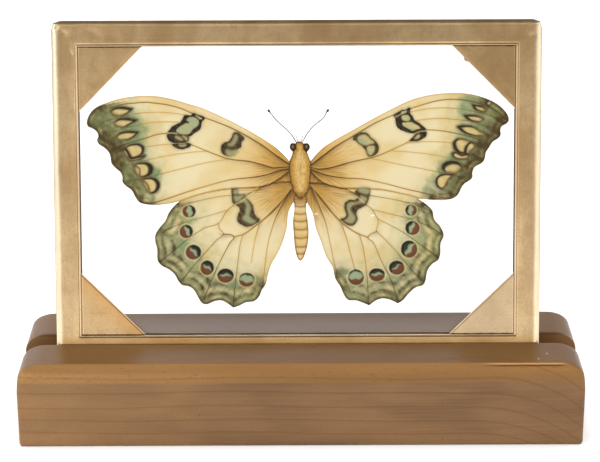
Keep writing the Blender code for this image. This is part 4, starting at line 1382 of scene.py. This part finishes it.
@dataclass
class Butterfly:
    """The flat sheet cut to the butterfly's outline, its paints, and its hair-thin antennae."""

    lean: Lean
    drawing: Drawing = Drawing()
    middle: float = 59.7 * MM
    back: float = -3.7 * MM  # in the frame's space
    front: float = -3.9 * MM
    head_row: float = 142.6
    head_column: float = 299.4
    hairs_reach: float = 36
    head: Path = (303.4, 143.4, 301.9, 142.1, 299.4, 141.4, 297, 142.1, 295.5, 143.4)
    antennae: tuple[Path, ...] = (
        (296.6, 142.6, 292.8, 136.4, 287, 129.8, 277, 120.7, 271.6, 114.2, 268, 109.6),
        (302.2, 142.6, 307.8, 133.1, 314, 125.7, 324, 117.4, 326.4, 112.8, 329, 109.4),
    )
    palps: tuple[Path, ...] = (
        (298.2, 142.2, 297.4, 139, 295.7, 135.6), (301.2, 142.2, 301.9, 139, 303.1, 135.6),
    )
    antenna_width: float = 0.46
    club: float = 0.9  # how much thicker an antenna's club is
    club_row: float = 112.5
    palp_width: float = 0.3
    hair_inset: float = 0.04 * MM  # how far the hairs' faces lie behind the sheet's
    front_spacing: float = 1.06  # squares between neighbouring points
    back_spacing: float = 2.3
    beside: tuple[float, ...] = (-0.85, -0.4, 0, 0.4, 0.85)  # rows of points along a drawn line

    def outline(self) -> Array:
        """The node's outline in squares, without its antennae and rounded, from left eye to head.

        The front face's triangles are welded, and the edges that only one of them has form a ring.
        """
        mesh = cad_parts["butterfly"].data
        mesh.calc_loop_triangles()
        local = self.lean.take(mesh_points(mesh))
        corners = np.empty(len(mesh.loop_triangles) * 3, np.int32)
        mesh.loop_triangles.foreach_get("vertices", corners)
        flat, joined = np.unique(np.round(local[:, [0, 2]], 6), axis=0, return_inverse=True)
        triangles = corners.reshape(-1, 3)
        facing = np.all(local[triangles][:, :, 1] < (self.front + self.back) / 2, axis=1)
        triangles = joined.reshape(-1)[triangles[facing]]
        edges = np.vstack([triangles[:, [0, 1]], triangles[:, [1, 2]], triangles[:, [2, 0]]])
        keys = {tuple(edge) for edge in edges.tolist()}
        ahead = {a: b for a, b in keys if (b, a) not in keys}
        start = next(iter(ahead))
        ring = [start]
        while ahead[ring[-1]] != start:
            ring.append(ahead[ring[-1]])
        squares = self.drawing.from_sheet(flat[ring] - (0, self.middle))
        hairs = np.abs(squares[:, 0] - self.head_column) < self.hairs_reach
        antenna = hairs & (squares[:, 1] < self.head_row)
        first = np.flatnonzero(antenna & ~np.roll(antenna, -1))[0] + 1
        kept = np.roll(squares, -first, axis=0)[~np.roll(antenna, -first)]
        if kept[0, 0] > self.drawing.centre[0]:
            kept = kept[::-1]
        return round_curve(np.vstack([kept, np.reshape(self.head, (-1, 2))]), 0.9, closed=True, corner=48)

    def fill(
        self, outline: Array, spacing: float, lines: Sequence[Array], beside: Sequence[float]
    ) -> tuple[Array, Array]:
        """Points and triangles that fill an outline.

        Points stand in offset rows, and in further rows beside each line, so that a thin line is
        drawn sharply. A Delaunay triangulation joins them.
        """
        low, high = outline.min(0), outline.max(0)
        across, down = (np.arange(low[k], high[k], step) for k, step in enumerate((spacing, spacing * 0.87)))
        column, row = np.meshgrid(across, down)
        column = column + (np.arange(row.shape[0])[:, None] % 2) * spacing / 2
        points = np.stack([column.ravel(), row.ravel()], 1)
        rows = []
        for line in lines:
            points = points[from_path(points, line, 3).distance > max(beside) + 0.45]
            rows.extend(line + normals(line) * offset for offset in beside)
        points = np.vstack([points, *rows])
        _, keep = np.unique(np.round(points / 0.36), axis=0, return_index=True)
        points = points[keep]
        points = points[depth(points, outline, 2) > 0.32]
        count = len(outline)
        edges = [(index, (index + 1) % count) for index in range(count)]
        everything = np.vstack([outline, points])
        made = delaunay_2d_cdt(everything.tolist(), edges, [], 0, 1e-7, False)
        points = np.array([tuple(point) for point in made[0]])
        triangles = np.array(made[2])
        return points, triangles[inside(points[triangles].mean(axis=1), outline)]

    def ribbon(self, path: Path, width: float, club: float) -> Array:
        """A hair: a (rows, 2, 2) strip along a smooth path, with a swelling near its end."""
        line = round_curve(path)
        t = np.linspace(0, 1, len(line))
        half = (width + club * bell(t, 0.03, 0.965)) * (1 - 0.6 * ease(t, 0.985, 1))
        across = normals(line) * half[:, None]
        return np.stack([line - across, line + across], 1)

    def build(self) -> Piece:
        """The sheet: a fine front face, a coarser back face and a rim, with the hairs beside them."""
        outline = self.outline()
        drawn = [round_curve(vein.path) for vein in ALL_VEINS]
        marks = [mark.outline for mark in (*SPOTS, *BARS)] + [fill for bar in BARS for fill in bar.fills]
        drawn += [ringed(round_curve(mark, closed=True)) for mark in marks]
        front, front_faces = self.fill(outline, self.front_spacing, drawn, self.beside)
        rear, rear_faces = self.fill(outline, self.back_spacing, (), (0,))
        count, rim = len(front), np.arange(len(outline))
        ahead = np.roll(rim, -1)
        sides = np.stack([rim, ahead, ahead + count, rim + count], 1)
        faces = self.facing(front, front_faces).tolist()
        faces += (self.facing(rear, rear_faces)[:, ::-1] + count).tolist()
        faces += sides[:, ::self.turn_sign(outline)].tolist()
        squares = [front, rear]
        deep = [np.full(len(front), self.front), np.full(len(rear), self.back)]
        total = hair_start = len(front) + len(rear)
        thin = [self.front + self.hair_inset] * 2 + [self.back - self.hair_inset] * 2
        hairs = [(path, self.antenna_width, self.club) for path in self.antennae]
        hairs += [(path, self.palp_width, 0) for path in self.palps]
        for path, width, club in hairs:
            strip = self.ribbon(path, width, club)
            rows = len(strip)
            squares.append(strip[:, [0, 1, 1, 0]].reshape(-1, 2))
            deep.append(np.tile(thin, rows))
            faces += (grid_quads(rows, 4, ring=True) + total).tolist()
            faces += [[total + 3, total + 2, total + 1, total], [total + rows * 4 - 4 + k for k in range(4)]]
            total += rows * 4
        flat = np.vstack(squares)
        sheet = self.drawing.to_sheet(flat)
        placed = self.lean.place(np.stack([sheet[:, 0], np.concatenate(deep), sheet[:, 1] + self.middle], 1))
        piece = make_piece("butterfly_sheet", placed, faces, 60)
        painter = Painter(flat, outline)
        paints = painter.paint()
        paints[Paint.UMBER][hair_start:] = 0.9
        paints[Paint.INK][hair_start:] = np.where(flat[hair_start:, 1] < self.club_row, 0.95, 0.25)
        shares = {paint.value: share for paint, share in paints.items()}
        set_attributes(piece, **shares, **painter.hatching)
        return piece

    @staticmethod
    def facing(points: Array, faces: Array) -> Array:
        """Triangles turned so that they face forward: columns run right and rows run down."""
        a, b, c = (points[faces[:, k]] for k in range(3))
        area = (b[:, 0] - a[:, 0]) * (c[:, 1] - a[:, 1]) - (b[:, 1] - a[:, 1]) * (c[:, 0] - a[:, 0])
        return np.where((area > 0)[:, None], faces[:, ::-1], faces)

    @staticmethod
    def turn_sign(outline: Array) -> int:
        """1 or -1, by which way round the outline runs."""
        ahead = np.roll(outline, -1, axis=0)
        area = np.sum(outline[:, 0] * ahead[:, 1] - outline[:, 1] * ahead[:, 0])
        return 1 if area > 0 else -1


THORAX = (
    296.4, 143, 293.4, 151, 289.9, 161.3, 289.6, 172.9, 291.9, 185.4, 295, 194.5, 300.6, 198.8, 306, 195,
    309.1, 187.8, 310.9, 172.9, 310.9, 162, 307.6, 152.6, 303.2, 143.4, 299.6, 141.8,
)
ABDOMEN = (
    294.6, 196.5, 294.4, 204.5, 293.1, 214, 293.1, 223, 293.7, 232, 294.8, 246, 296.2, 253.5, 298.2, 259,
    300.4, 261, 302.8, 259, 305.2, 253.5, 307.4, 246, 308.7, 232, 308, 223, 307, 210, 306.4, 204.5, 306.2,
    196.5,
)
SEGMENT_ROWS = (198.6, 205.8, 213.3, 220.6, 228.9, 237.3, 246.2, 252.9)
EYE_BALLS = ((293.2, 147), (306.6, 147.2))
FLECKS = (  # across, down and length
    (316.3, 214, 1.6),
    (372.8, 215.6, 2),
)
COSTAL_BANDS = (
    ((118, 99, 140, 96, 160, 97, 180, 102, 200, 109, 225, 120.5, 250, 134.5, 270, 148, 289, 162),
     LEFT_VEINS[0].path),
    ((500, 108, 480, 98, 455, 93, 430, 95.5, 405, 102, 380, 113, 350, 131.5, 330, 146, 310.5, 163),
     RIGHT_VEINS[0].path),
)
ALL_VEINS = LEFT_VEINS + RIGHT_VEINS + LEFT_HIND_VEINS + RIGHT_HIND_VEINS


class Painter:
    """Gives every point of the butterfly its share of each paint, from distances to the drawing's curves."""

    middle_column: float = 300  # between the left wings and the right

    def __init__(self, places: Array, outline: Array) -> None:
        """Start with no paint anywhere.

        Args:
            places: the points in squares of the drawing.
            outline: the butterfly's outline in squares.
        """
        self.places = places
        self.x, self.y = places.T
        self.outline = outline
        self.shares = {paint: np.zeros(len(places)) for paint in Paint}
        self.hatching = {name: np.zeros(len(places)) for name in ("hatch", "ray", "span")}

    def add(self, **shares: Array) -> None:
        """Lay paints on, by their names: what each covers grows and never passes 1."""
        for name, share in shares.items():
            bare = (1 - self.shares[Paint(name)]) * (1 - np.clip(share, 0, 1))
            self.shares[Paint(name)] = 1 - bare

    def clear(self, share: Array, *paints: Paint) -> None:
        """Take paints, or all of them, away under what comes next."""
        for paint in paints or tuple(Paint):
            self.shares[paint] = self.shares[paint] * (1 - np.clip(share, 0, 1))

    def waves(self, across: float, down: float, seed: float) -> Array:
        """Smooth irregular waves of these lengths in squares."""
        return ripple(self.x / across, self.y / down, seed=seed)

    def near(self, path: Path, reach: float, step: float = 0.8) -> Nearness:
        """How every point lies to a smooth open line."""
        return from_path(self.places, round_curve(path, step), reach)

    def deep(self, path: Path, step: float = 1) -> Array:
        """How deep every point lies inside a smooth closed line."""
        return depth(self.places, round_curve(path, step, closed=True))

    def blob(self, middle: Point, radii: Point) -> Array:
        """A soft oval hump, 1 in its middle."""
        return np.exp(-(((self.x - middle[0]) / radii[0]) ** 2 + ((self.y - middle[1]) / radii[1]) ** 2))

    def hatch(self, where: Array, hatch: Array, ray: Array, span: Array) -> None:
        """Say how strong the paper's hatching is somewhere, and the two coordinates that it follows."""
        for name, values in (("hatch", hatch), ("ray", ray), ("span", span)):
            self.hatching[name] = np.where(where, values, self.hatching[name])

    def paint(self) -> dict[Paint, Array]:
        """Lay on everything from the ground up."""
        edges = [Vein(edge, (0.1, 0.45, 1), 0.62) for edge in FOREWING_EDGES]
        for draw, things in (
            (self.wing, WINGS), (self.line, edges), (self.line, ALL_VEINS), (self.costal_band, COSTAL_BANDS),
            (self.bar, BARS), (self.light_stroke, LIGHT_STROKES), (self.spot, SPOTS), (self.eye, EYES),
        ):
            for thing in things:
                draw(thing)
        self.rim()
        self.body()
        self.flecks()
        return self.shares

    def light_stroke(self, path: Path) -> None:
        """A thin line that is clear of dark paint."""
        self.clear(bell(self.near(path, 4).distance, 0.75) * 0.8, Paint.INK, Paint.UMBER, Paint.MINT)

    def margin(self, wing: Wing) -> Array:
        """The part of the outline that is the wing's margin."""
        start, end = (int(np.argmin(np.linalg.norm(self.outline - np.array(p), axis=1))) for p in wing.margin)
        count = len(self.outline)
        steps = (end - start) % count
        turns = np.arange(steps + 1) if steps < count / 2 else -np.arange((start - end) % count + 1)
        return self.outline[(start + turns) % count][::2]

    def wing(self, wing: Wing) -> None:
        """A wing's warm root and its border.

        The border's green is the share of the way from the line it reaches to the margin. Where
        veins meet the margin they divide it into cells, and pale and dark arcs fill each cell.
        """
        belongs = self.belongs(wing)
        margin = self.margin(wing)
        edge = from_path(self.places, margin, 70)
        reach = round_curve(wing.reach, 3)
        to_reach = from_path(self.places, reach, 70).distance
        within = inside(self.places, np.vstack([margin, reach[::-1]]))
        deep = np.where(within, to_reach / (to_reach + edge.distance + 1e-6), 0)
        cloud, fine, broken = self.waves(6, 5, 2), self.waves(2.1, 2.4, 7), self.waves(4.3, 3.9, 5)
        shown = belongs * (1 - wing.fading * ease(edge.along, 0.82, 0.97))
        shore = bell(to_reach, 9 if wing.hind else 6) * 0.3
        teal = bell(deep, 0.28, wing.teal_at) * within * ease(deep, 0, 0.25)
        shade = wing.olive * ease(deep, 0.42, 1) * (0.88 + 0.8 * cloud + 0.35 * fine)
        night = ease(cloud + 0.5 * fine, 0.1, 1.1) * ease(deep, 0.6, 1) * wing.olive * 0.36
        self.add(
            green=np.where(within, 0.24 + wing.green * deep, shore) * shown,
            teal=teal * (wing.teal + 0.25 * cloud) * shown,
            olive=np.where(within, shade, 0) * shown,
            ink=np.where(within, night, 0) * shown,
        )

        ends = np.sort(from_path(np.array([vein.path[:2] for vein in wing.veins]), margin, 9).along)
        stops = np.concatenate([[0], ends[(ends > 0.02) & (ends < 0.98)], [1]])
        middle = np.sin(np.pi * (np.interp(edge.along, stops, np.arange(len(stops))) % 1))
        near_vein = (1 - middle) ** 2 * np.exp(-(edge.distance / 7))
        self.add(
            olive=near_vein * (1 + 0.3 * cloud) * shown,
            ink=near_vein * near_vein * 0.35 * shown * shown,
        )
        across, down = self.x - wing.root[0], self.y - wing.root[1]
        away, angle = np.hypot(across, down * 1.1), np.arctan2(down, across)
        streak = np.clip(0.9 + 0.8 * ripple(angle * 70, away / 12, seed=3), 0.1, 1.6)
        for at, wide, dark in wing.arcs:
            wave = at + 0.16 * at * middle + 0.7 * fine + 1.1 * broken
            arc = bell(edge.distance, wide, wave) * np.sqrt(middle)
            strong = arc * dark * np.clip(0.8 + 0.4 * cloud + 0.7 * broken, 0, 1.2) * streak * belongs
            self.add(olive=strong, ink=strong * 0.16)
        for at, wide, light in wing.patches:
            patch = bell(edge.distance, wide, at + 0.16 * at * middle) * middle**1.5
            strong = patch * light * np.clip(0.75 + 0.4 * cloud + 0.3 * fine - 0.7 * broken, 0, 1.1)
            strong = strong * (1.7 - streak) * belongs
            self.clear(strong * 0.75, Paint.GREEN, Paint.TEAL, Paint.OLIVE)
            self.add(pale=strong * 0.55)
        self.add(
            olive=fall(edge.distance, 0.4, 3.2) * 0.65 * belongs,
            tan=fall(away, 6, 62 if wing.hind else 82) * 0.95 * belongs,
            umber=fall(away, 2, 40) * 0.22 * belongs,
            rust=fall(away, 2, 46) * 0.1 * belongs,
        )
        self.hatch(belongs > 0, fall(away, 12, 60), angle, away)

    def belongs(self, wing: Wing) -> Array:
        """1 on the wing and 0 off it: forewings lie above their inner edges, hindwings below."""
        left = wing.root[0] < self.middle_column
        edge = np.reshape(FOREWING_EDGES[0 if left else 1], (-1, 2))
        edge = edge[np.argsort(edge[:, 0])]
        above = self.y < np.interp(self.x, edge[:, 0], edge[:, 1])
        return (((self.x < self.middle_column) == left) & (above != wing.hind)).astype(float)

    def line(self, vein: Vein) -> None:
        """A drawn line: tan all along, ink by its darkness, and a shadow below it near its dark end."""
        near = self.near(vein.path, 7, 1)
        stroke = fall(near.distance, vein.width * 0.25, vein.width * 1.8)
        glow = fall(near.distance, 0.5, 2.4)
        darkness = np.interp(near.along, (0, 0.5, 1), vein.dark)
        rooted = ease(near.along, 0.45, 1) * darkness
        shadow = bell(near.distance, 3.6) * (near.below > 0) * rooted
        light = bell(near.distance, 0.7, 1.5) * (near.below < 0) * rooted
        self.add(
            tan=stroke * 0.85 + glow * 0.14,
            umber=stroke * np.clip(0.14 + darkness * 0.88, 0, 0.95),
            ink=stroke * np.clip(darkness - 0.2, 0, 1) * 0.85,
        )
        self.add(umber=shadow * 0.55)
        self.clear(light * 0.65, Paint.UMBER, Paint.INK)

    def costal_band(self, band: tuple[Path, Path]) -> None:
        """The plain tan band between a forewing's front edge and its first vein."""
        outer, inner = (round_curve(path, 2) for path in band)
        deep = depth(self.places, np.vstack([outer, inner[::-1]]), 4)
        self.add(tan=ease(deep, -0.4, 0.8) * 0.22)

    def bar(self, bar: Bar) -> None:
        """A bar: dark inside its outline, with its lighter fills laid over the dark."""
        deep = self.deep(bar.outline)
        fine, coarse = self.waves(0.9, 1.1, 4), self.waves(2.6, 2.2, 9)
        body = ease(deep + 0.15 * fine, -bar.soft, bar.soft * 0.6)
        core = np.zeros_like(body)
        for fill in bar.fills:
            within = self.deep(fill, 0.8) + (0.15 + 0.25 * bar.blur) * fine
            core = np.maximum(core, ease(within, -bar.blur, bar.blur * 1.1 + 0.2))
        self.add(olive=ease(deep, -3.2, 0) * (1 - body) * 0.28)
        whole, edge = np.maximum(body, core), body * (1 - core)
        tint = np.clip(bar.shade + 0.12 * coarse + 0.08 * fine, 0, 1)
        self.clear(whole)
        self.add(
            pale=whole,
            mint=core * np.clip(1 - bar.light * (0.5 + 0.55 * coarse), 0, 1),
            umber=edge * (0.84 + 0.2 * fine) + core * tint,
            ink=edge * (bar.depth + 0.1 * fine),
        )

    def spot(self, spot: Spot) -> None:
        """A spot: pale inside, a thin brown rim, and ink between its outline and a shifted copy."""
        outline = round_curve(spot.outline, closed=True, corner=70)
        shift = np.array(spot.crescent)
        deep = depth(self.places, outline)
        body = ease(deep, -0.45, 0.35)
        rim = bell(deep, 0.75, 0.1)
        crescent = body * fall(depth(self.places - shift * 1.25, outline), -0.6, 1.8)
        opposite = body * fall(depth(self.places + shift * 0.8, outline), -0.4, 2.4)
        strokes = body * (0.08 + 0.14 * self.waves(1.3, 1.7, 6))
        self.add(olive=ease(deep, -3, 0) * (1 - body) * 0.6)
        self.clear(body)
        self.add(
            pale=body,
            umber=opposite * 0.36 + rim * 0.52 + crescent * 0.6 + strokes,
            ink=crescent * 0.94 + rim * 0.14,
        )
        if spot.fold:
            distance = self.near(spot.fold, 4).distance
            self.add(umber=bell(distance, 0.9) * 0.8, ink=bell(distance, 0.6) * 0.5)

    def eye(self, eye: Eye) -> None:
        """An eyespot: its disc is cut across by two curved lines into ink, mint and rust."""
        x = (self.x - eye.centre[0]) / eye.radii[0]
        y = -(self.y - eye.centre[1]) / eye.radii[1]
        turn = math.radians(eye.towards)
        forward = x * math.cos(turn) + y * math.sin(turn)
        side = y * math.cos(turn) - x * math.sin(turn)
        radius = np.hypot(x, y)
        size = min(eye.radii)
        disc = fall(radius, 1 - 0.4 / size, 1 + 0.6 / size)
        halo = fall(radius, 1, 1 + 2.2 / size) * (1 - disc)
        waver = 0.09 * np.sin(side * 6 + eye.centre[0])
        black = ease(forward + 0.3 * side**2 + waver, eye.black - 0.12, eye.black + 0.14)
        rust = fall(forward - 0.28 * side**2 + waver, eye.rust - 0.12, eye.rust + 0.08)
        rim, low = bell((radius - 0.94) * size, 0.9), ease(-forward, 0.35, 0.95)
        self.clear(np.maximum(disc, halo * 0.8))
        self.add(
            tan=halo * ease(-forward, -0.2, 0.8) * 0.75, pale=halo * 0.35, mint=disc,
            rust=disc * rust * 0.92, umber=disc * rust * 0.3,
            ink=disc * black * 0.94 + rim * (0.28 + 0.5 * ease(forward, -0.3, 0.5) + 0.3 * low),
        )

    def rim(self) -> None:
        """The sheet's edge: a hair of umber round the whole outline."""
        distance = from_path(self.places, ringed(self.outline)[::2], 6).distance
        self.add(
            tan=fall(distance, 0.6, 2.6) * 0.4,
            umber=fall(distance, 0.1, 1) * 0.42,
        )

    def body(self) -> None:
        """Head, thorax and abdomen: tan, darker towards the sides, with hatching and segment lines."""
        x, y = self.x, self.y
        hatch = 0.5 + 0.5 * np.sin(x * 3.1 + y * 1.9 + 2 * self.waves(2, 5, 0))
        depths = {"abdomen": self.deep(ABDOMEN), "thorax": self.deep(THORAX)}
        for part, fade, tan, strokes in (("abdomen", 2.8, 0.54, 0.14), ("thorax", 7, 0.66, 0.62)):
            deep = depths[part]
            body = ease(deep, -0.4, 0.4)
            edge = bell(deep, 0.75, 0.2)
            sides = body * fall(deep, 0.5, fade)
            self.clear(body)
            self.add(
                tan=body * tan + sides * 0.7,
                umber=sides * (0.02 + 0.55 * strokes) * (0.5 + hatch) + edge * 0.72,
                rust=edge * 0.16 + sides * 0.1,
                ink=edge * 0.4 * strokes,
            )
            self.hatch(body > 0.5, strokes, 0.017 * x + 0.004 * y, 5 * y)
        self.add(umber=self.blob((300.6, 167), (1, 4.5)) * 0.35)
        tail = self.blob((300.4, 195), (6.5, 3.6))
        self.add(tan=tail * 0.6, umber=tail * 0.5)
        within = ease(depths["abdomen"], -0.2, 0.5)
        for row in SEGMENT_ROWS:
            below = y - (row - 0.4 + 1.5 * (1 - ((x - 300.6) / 7.5) ** 2))
            self.add(
                tan=bell(below, 1.7, -1.4) * within * 0.45,
                umber=bell(below, 0.7) * within * 0.74,
                rust=bell(below, 0.9) * within * 0.16,
            )
            self.clear(bell(below, 1.8, 3.2) * within * 0.45, Paint.TAN)
        neck = within * bell(y, 2.6, 202)
        self.add(umber=neck * 0.36, rust=neck * 0.14, tan=neck * 0.5)
        for centre in EYE_BALLS:
            radius = np.hypot((x - centre[0]) / 3.4, (y - centre[1]) / 4.1)
            ball = fall(radius, 0.9, 1.12)
            shine = self.blob((centre[0] - 0.2, centre[1] - 0.2), (1.5, 1.9))
            self.add(
                umber=ball * (0.95 - 0.45 * shine),
                ink=ball * np.clip(0.94 - 1.05 * shine, 0, 1),
            )

    def flecks(self) -> None:
        """Two tiny white scratches on the right hindwing."""
        for across, down, length in FLECKS:
            dx, dy = self.x - across, self.y - down + 0.25 * (self.x - across)
            self.add(white=np.exp(-(((dx / length) ** 2 + (dy / 0.6) ** 2) ** 2)) * 0.95)


# --- Panes, studio and camera


@dataclass
class Panes:
    """The two panes, which stay the solids they are and get their glass."""

    nodes: tuple[str, ...] = ("front_glass", "back_glass")

    def dress(self, material: Material) -> None:
        """Put the glass on both."""
        for name in self.nodes:
            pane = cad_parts[name]
            pane.data.materials.clear()
            pane.data.materials.append(material)
            LOG.info("%s keeps its solid and is dressed in glass", name)


@dataclass(frozen=True)
class Lamp:
    """A soft rectangular lamp."""

    name: str
    place: Triple
    size: Point
    power: float  # watts
    mirrored: bool = True  # whether shiny faces show it


@dataclass
class Studio:
    """A pale floor, soft lamps overhead and in front, a bright room and the camera."""

    lamps: tuple[Lamp, ...] = (
        Lamp("overhead", (0, 0.15, 1.3), (1.8, 1.4), 29, mirrored=False),
        Lamp("left", (-1.5, -1.1, 1), (1, 1), 9),
    )
    aim: Triple = (0, 0, 0.06)  # what the lamps point at
    lens: float = 118.9
    camera_place: Triple = (-0.1 * MM, -643.2 * MM, 321.1 * MM)
    camera_pitch: float = 21.41  # degrees below level
    camera_roll: float = 0.23  # degrees clockwise
    floor_radius: float = 6
    front_low: float = 1.6
    front_high: float = 0.4
    behind: float = 1.15
    box_left: float = 1
    box_right: float = 1.25
    above: float = 0.22
    strip: float = 1.5
    level: float = 1.18
    patch: float = 0.05
    veil: float = 0.5  # what the panes mirror below the butterfly
    patch_rise: float = 10  # degrees
    patch_reach: Point = (7, 11)  # degrees from its middle to where it fades and ends
    patch_foot: Point = (0.1, 0.112)  # the height below which the veil lies

    def build(self) -> None:
        """Floor, room, lamps and camera."""
        self.lay_floor()
        self.light_room()
        for lamp in self.lamps:
            self.hang(lamp)
        self.set_camera()

    def lay_floor(self) -> None:
        """A round floor: rings of points about the origin, just under the stand."""
        radius = np.concatenate([[0], np.geomspace(0.02, self.floor_radius, 24)])[:, None]
        angle = np.linspace(0, 2 * np.pi, 64, endpoint=False)[None, :]
        grid = np.stack([radius * np.cos(angle), radius * np.sin(angle), 0 * radius * angle], -1)
        faces = grid_quads(*grid.shape[:2], ring=True).tolist()
        floor = make_piece("pale_floor", grid.reshape(-1, 3), faces, 180, weld=1e-6)
        floor.data.materials.append(PaleFloor().material())

    def light_room(self) -> None:
        """A bright room with soft boxes of light to the left and right, and a dim patch in front.

        The boxes lie where a direction points far enough sideways and not high up. The dim patch is
        what the panes mirror, so that the butterfly's dark lines stay dark.
        """
        world = bpy.data.worlds.new("room")
        bpy.context.scene.world = world
        g = Graph("room", world)
        x, y, z = g.split(g.node("TexCoord").outputs["Generated"])
        level = ((x * x + y * y) ** 0.5).above(0.001)
        across = x / level
        to_left = x * -1 / level
        low, nearer = z.fall(0.03, 0.34), (y / level).fall(0.1, 0.45)
        ahead = (y * -1).ease(0, 0.5)
        front = low * self.front_low + (1 - low) * self.front_high
        front = front.towards(self.strip, z.band(0.5, 0.56, 0.66, 0.72))
        back = (1 - across.above(0).ease(0.35, 0.6) * 0.7) * (1 - to_left.ease(0.35, 0.6) * 0.7)
        back = back * (1 - across.ease(-0.15, 0.25) * 0.35) * self.behind
        back = back * z.fall(0.4, 0.62) + z.ease(0.4, 0.62) * self.above
        rise = math.radians(self.patch_rise)
        facing = y * -math.cos(rise) + z * math.sin(rise)
        full, end = (math.cos(math.radians(reach)) for reach in self.patch_reach)
        room = ahead * front + (1 - ahead) * back
        for light, share in (
            (self.box_left, to_left.ease(0.34, 0.7) * nearer),
            (self.box_right, across.ease(0.55, 0.82) * nearer),
            (self.above, z.ease(0.62, 0.78)),
            (self.patch + z.fall(*self.patch_foot) * self.veil, facing.ease(end, full)),
        ):
            room = room.towards(light, share)
        sky = g.node("Background", inputs={"Color": (1, 1, 1), "Strength": room * self.level})
        g.node("OutputWorld", inputs={"Surface": sky.outputs[0]})

    def hang(self, lamp: Lamp) -> None:
        """Hang a lamp and point it at the object."""
        data = bpy.data.lights.new(lamp.name, "AREA")
        data.shape = "RECTANGLE"
        data.size, data.size_y = lamp.size
        data.energy = lamp.power
        hung = new_object(lamp.name, data)
        hung.location = lamp.place
        aim = Vector(self.aim) - Vector(lamp.place)
        hung.rotation_euler = aim.to_track_quat("-Z", "Y").to_euler()
        hung.visible_glossy = lamp.mirrored

    def set_camera(self) -> None:
        """The camera at the height and distance that were worked out from the object's edges."""
        data = bpy.data.cameras.new("camera")
        data.lens = self.lens
        data.clip_start = 0.01
        data.clip_end = 50
        camera = new_object("camera", data)
        look = Euler((math.radians(90 - self.camera_pitch), 0, 0)).to_matrix().to_4x4()
        roll = Matrix.Rotation(math.radians(-self.camera_roll), 4, "Z")
        camera.matrix_world = Matrix.Translation(self.camera_place) @ look @ roll
        bpy.context.scene.camera = camera
        bpy.context.scene.view_settings.view_transform = "Standard"
        bpy.context.scene.cycles.blur_glossy = 0


PLATES = {  # corner: its legs, warmth, darker tone, painted shade line behind the hem, hem, drop and polish
    "top_left": ((22.46 * MM, 22.86 * MM), 0.15, 0.33, 0.5, 1.05 * MM),
    "top_right": ((22.26 * MM, 22.16 * MM), 0.1, 0.52, 0.15, 0.6 * MM, 0.78),
    "bottom_left": ((22.76 * MM, 22.26 * MM), 0.8, 0, 0.95, 0.5 * MM),
    "bottom_right": ((22.96 * MM, 22.06 * MM), 0.06, 0, 0.8, 0.5 * MM, 0, 0.24),
}


def main() -> None:
    """Build the pieces in order and dress them."""
    logging.basicConfig(level=logging.INFO, format="%(message)s")
    lean = Lean.of_pane(
        angle=math.radians(15), back=-4.2 * MM, front=-6.1 * MM, foot=6 * MM, shift=-1 * MM
    )
    wood = OiledWood().material()
    brass = SatinBrass("satin_brass").material()
    plate_brass = SatinBrass("plate_brass", roughness=0.38).material()
    paper = PaintedPaper().material()
    settle(WoodenStand(lean).build(), "wooden_base", wood)
    settle(BrassFrame(lean).build(), "brass_frame", brass)
    for corner, sizes in PLATES.items():
        plate = CornerPlate(lean, corner, *sizes)
        settle(plate.build(), f"corner_plate_{corner}", plate_brass)
    Panes().dress(ClearGlass().material())
    settle(Butterfly(lean).build(), "butterfly", paper)
    Studio().build()


if __name__ == "__main__":
    main()
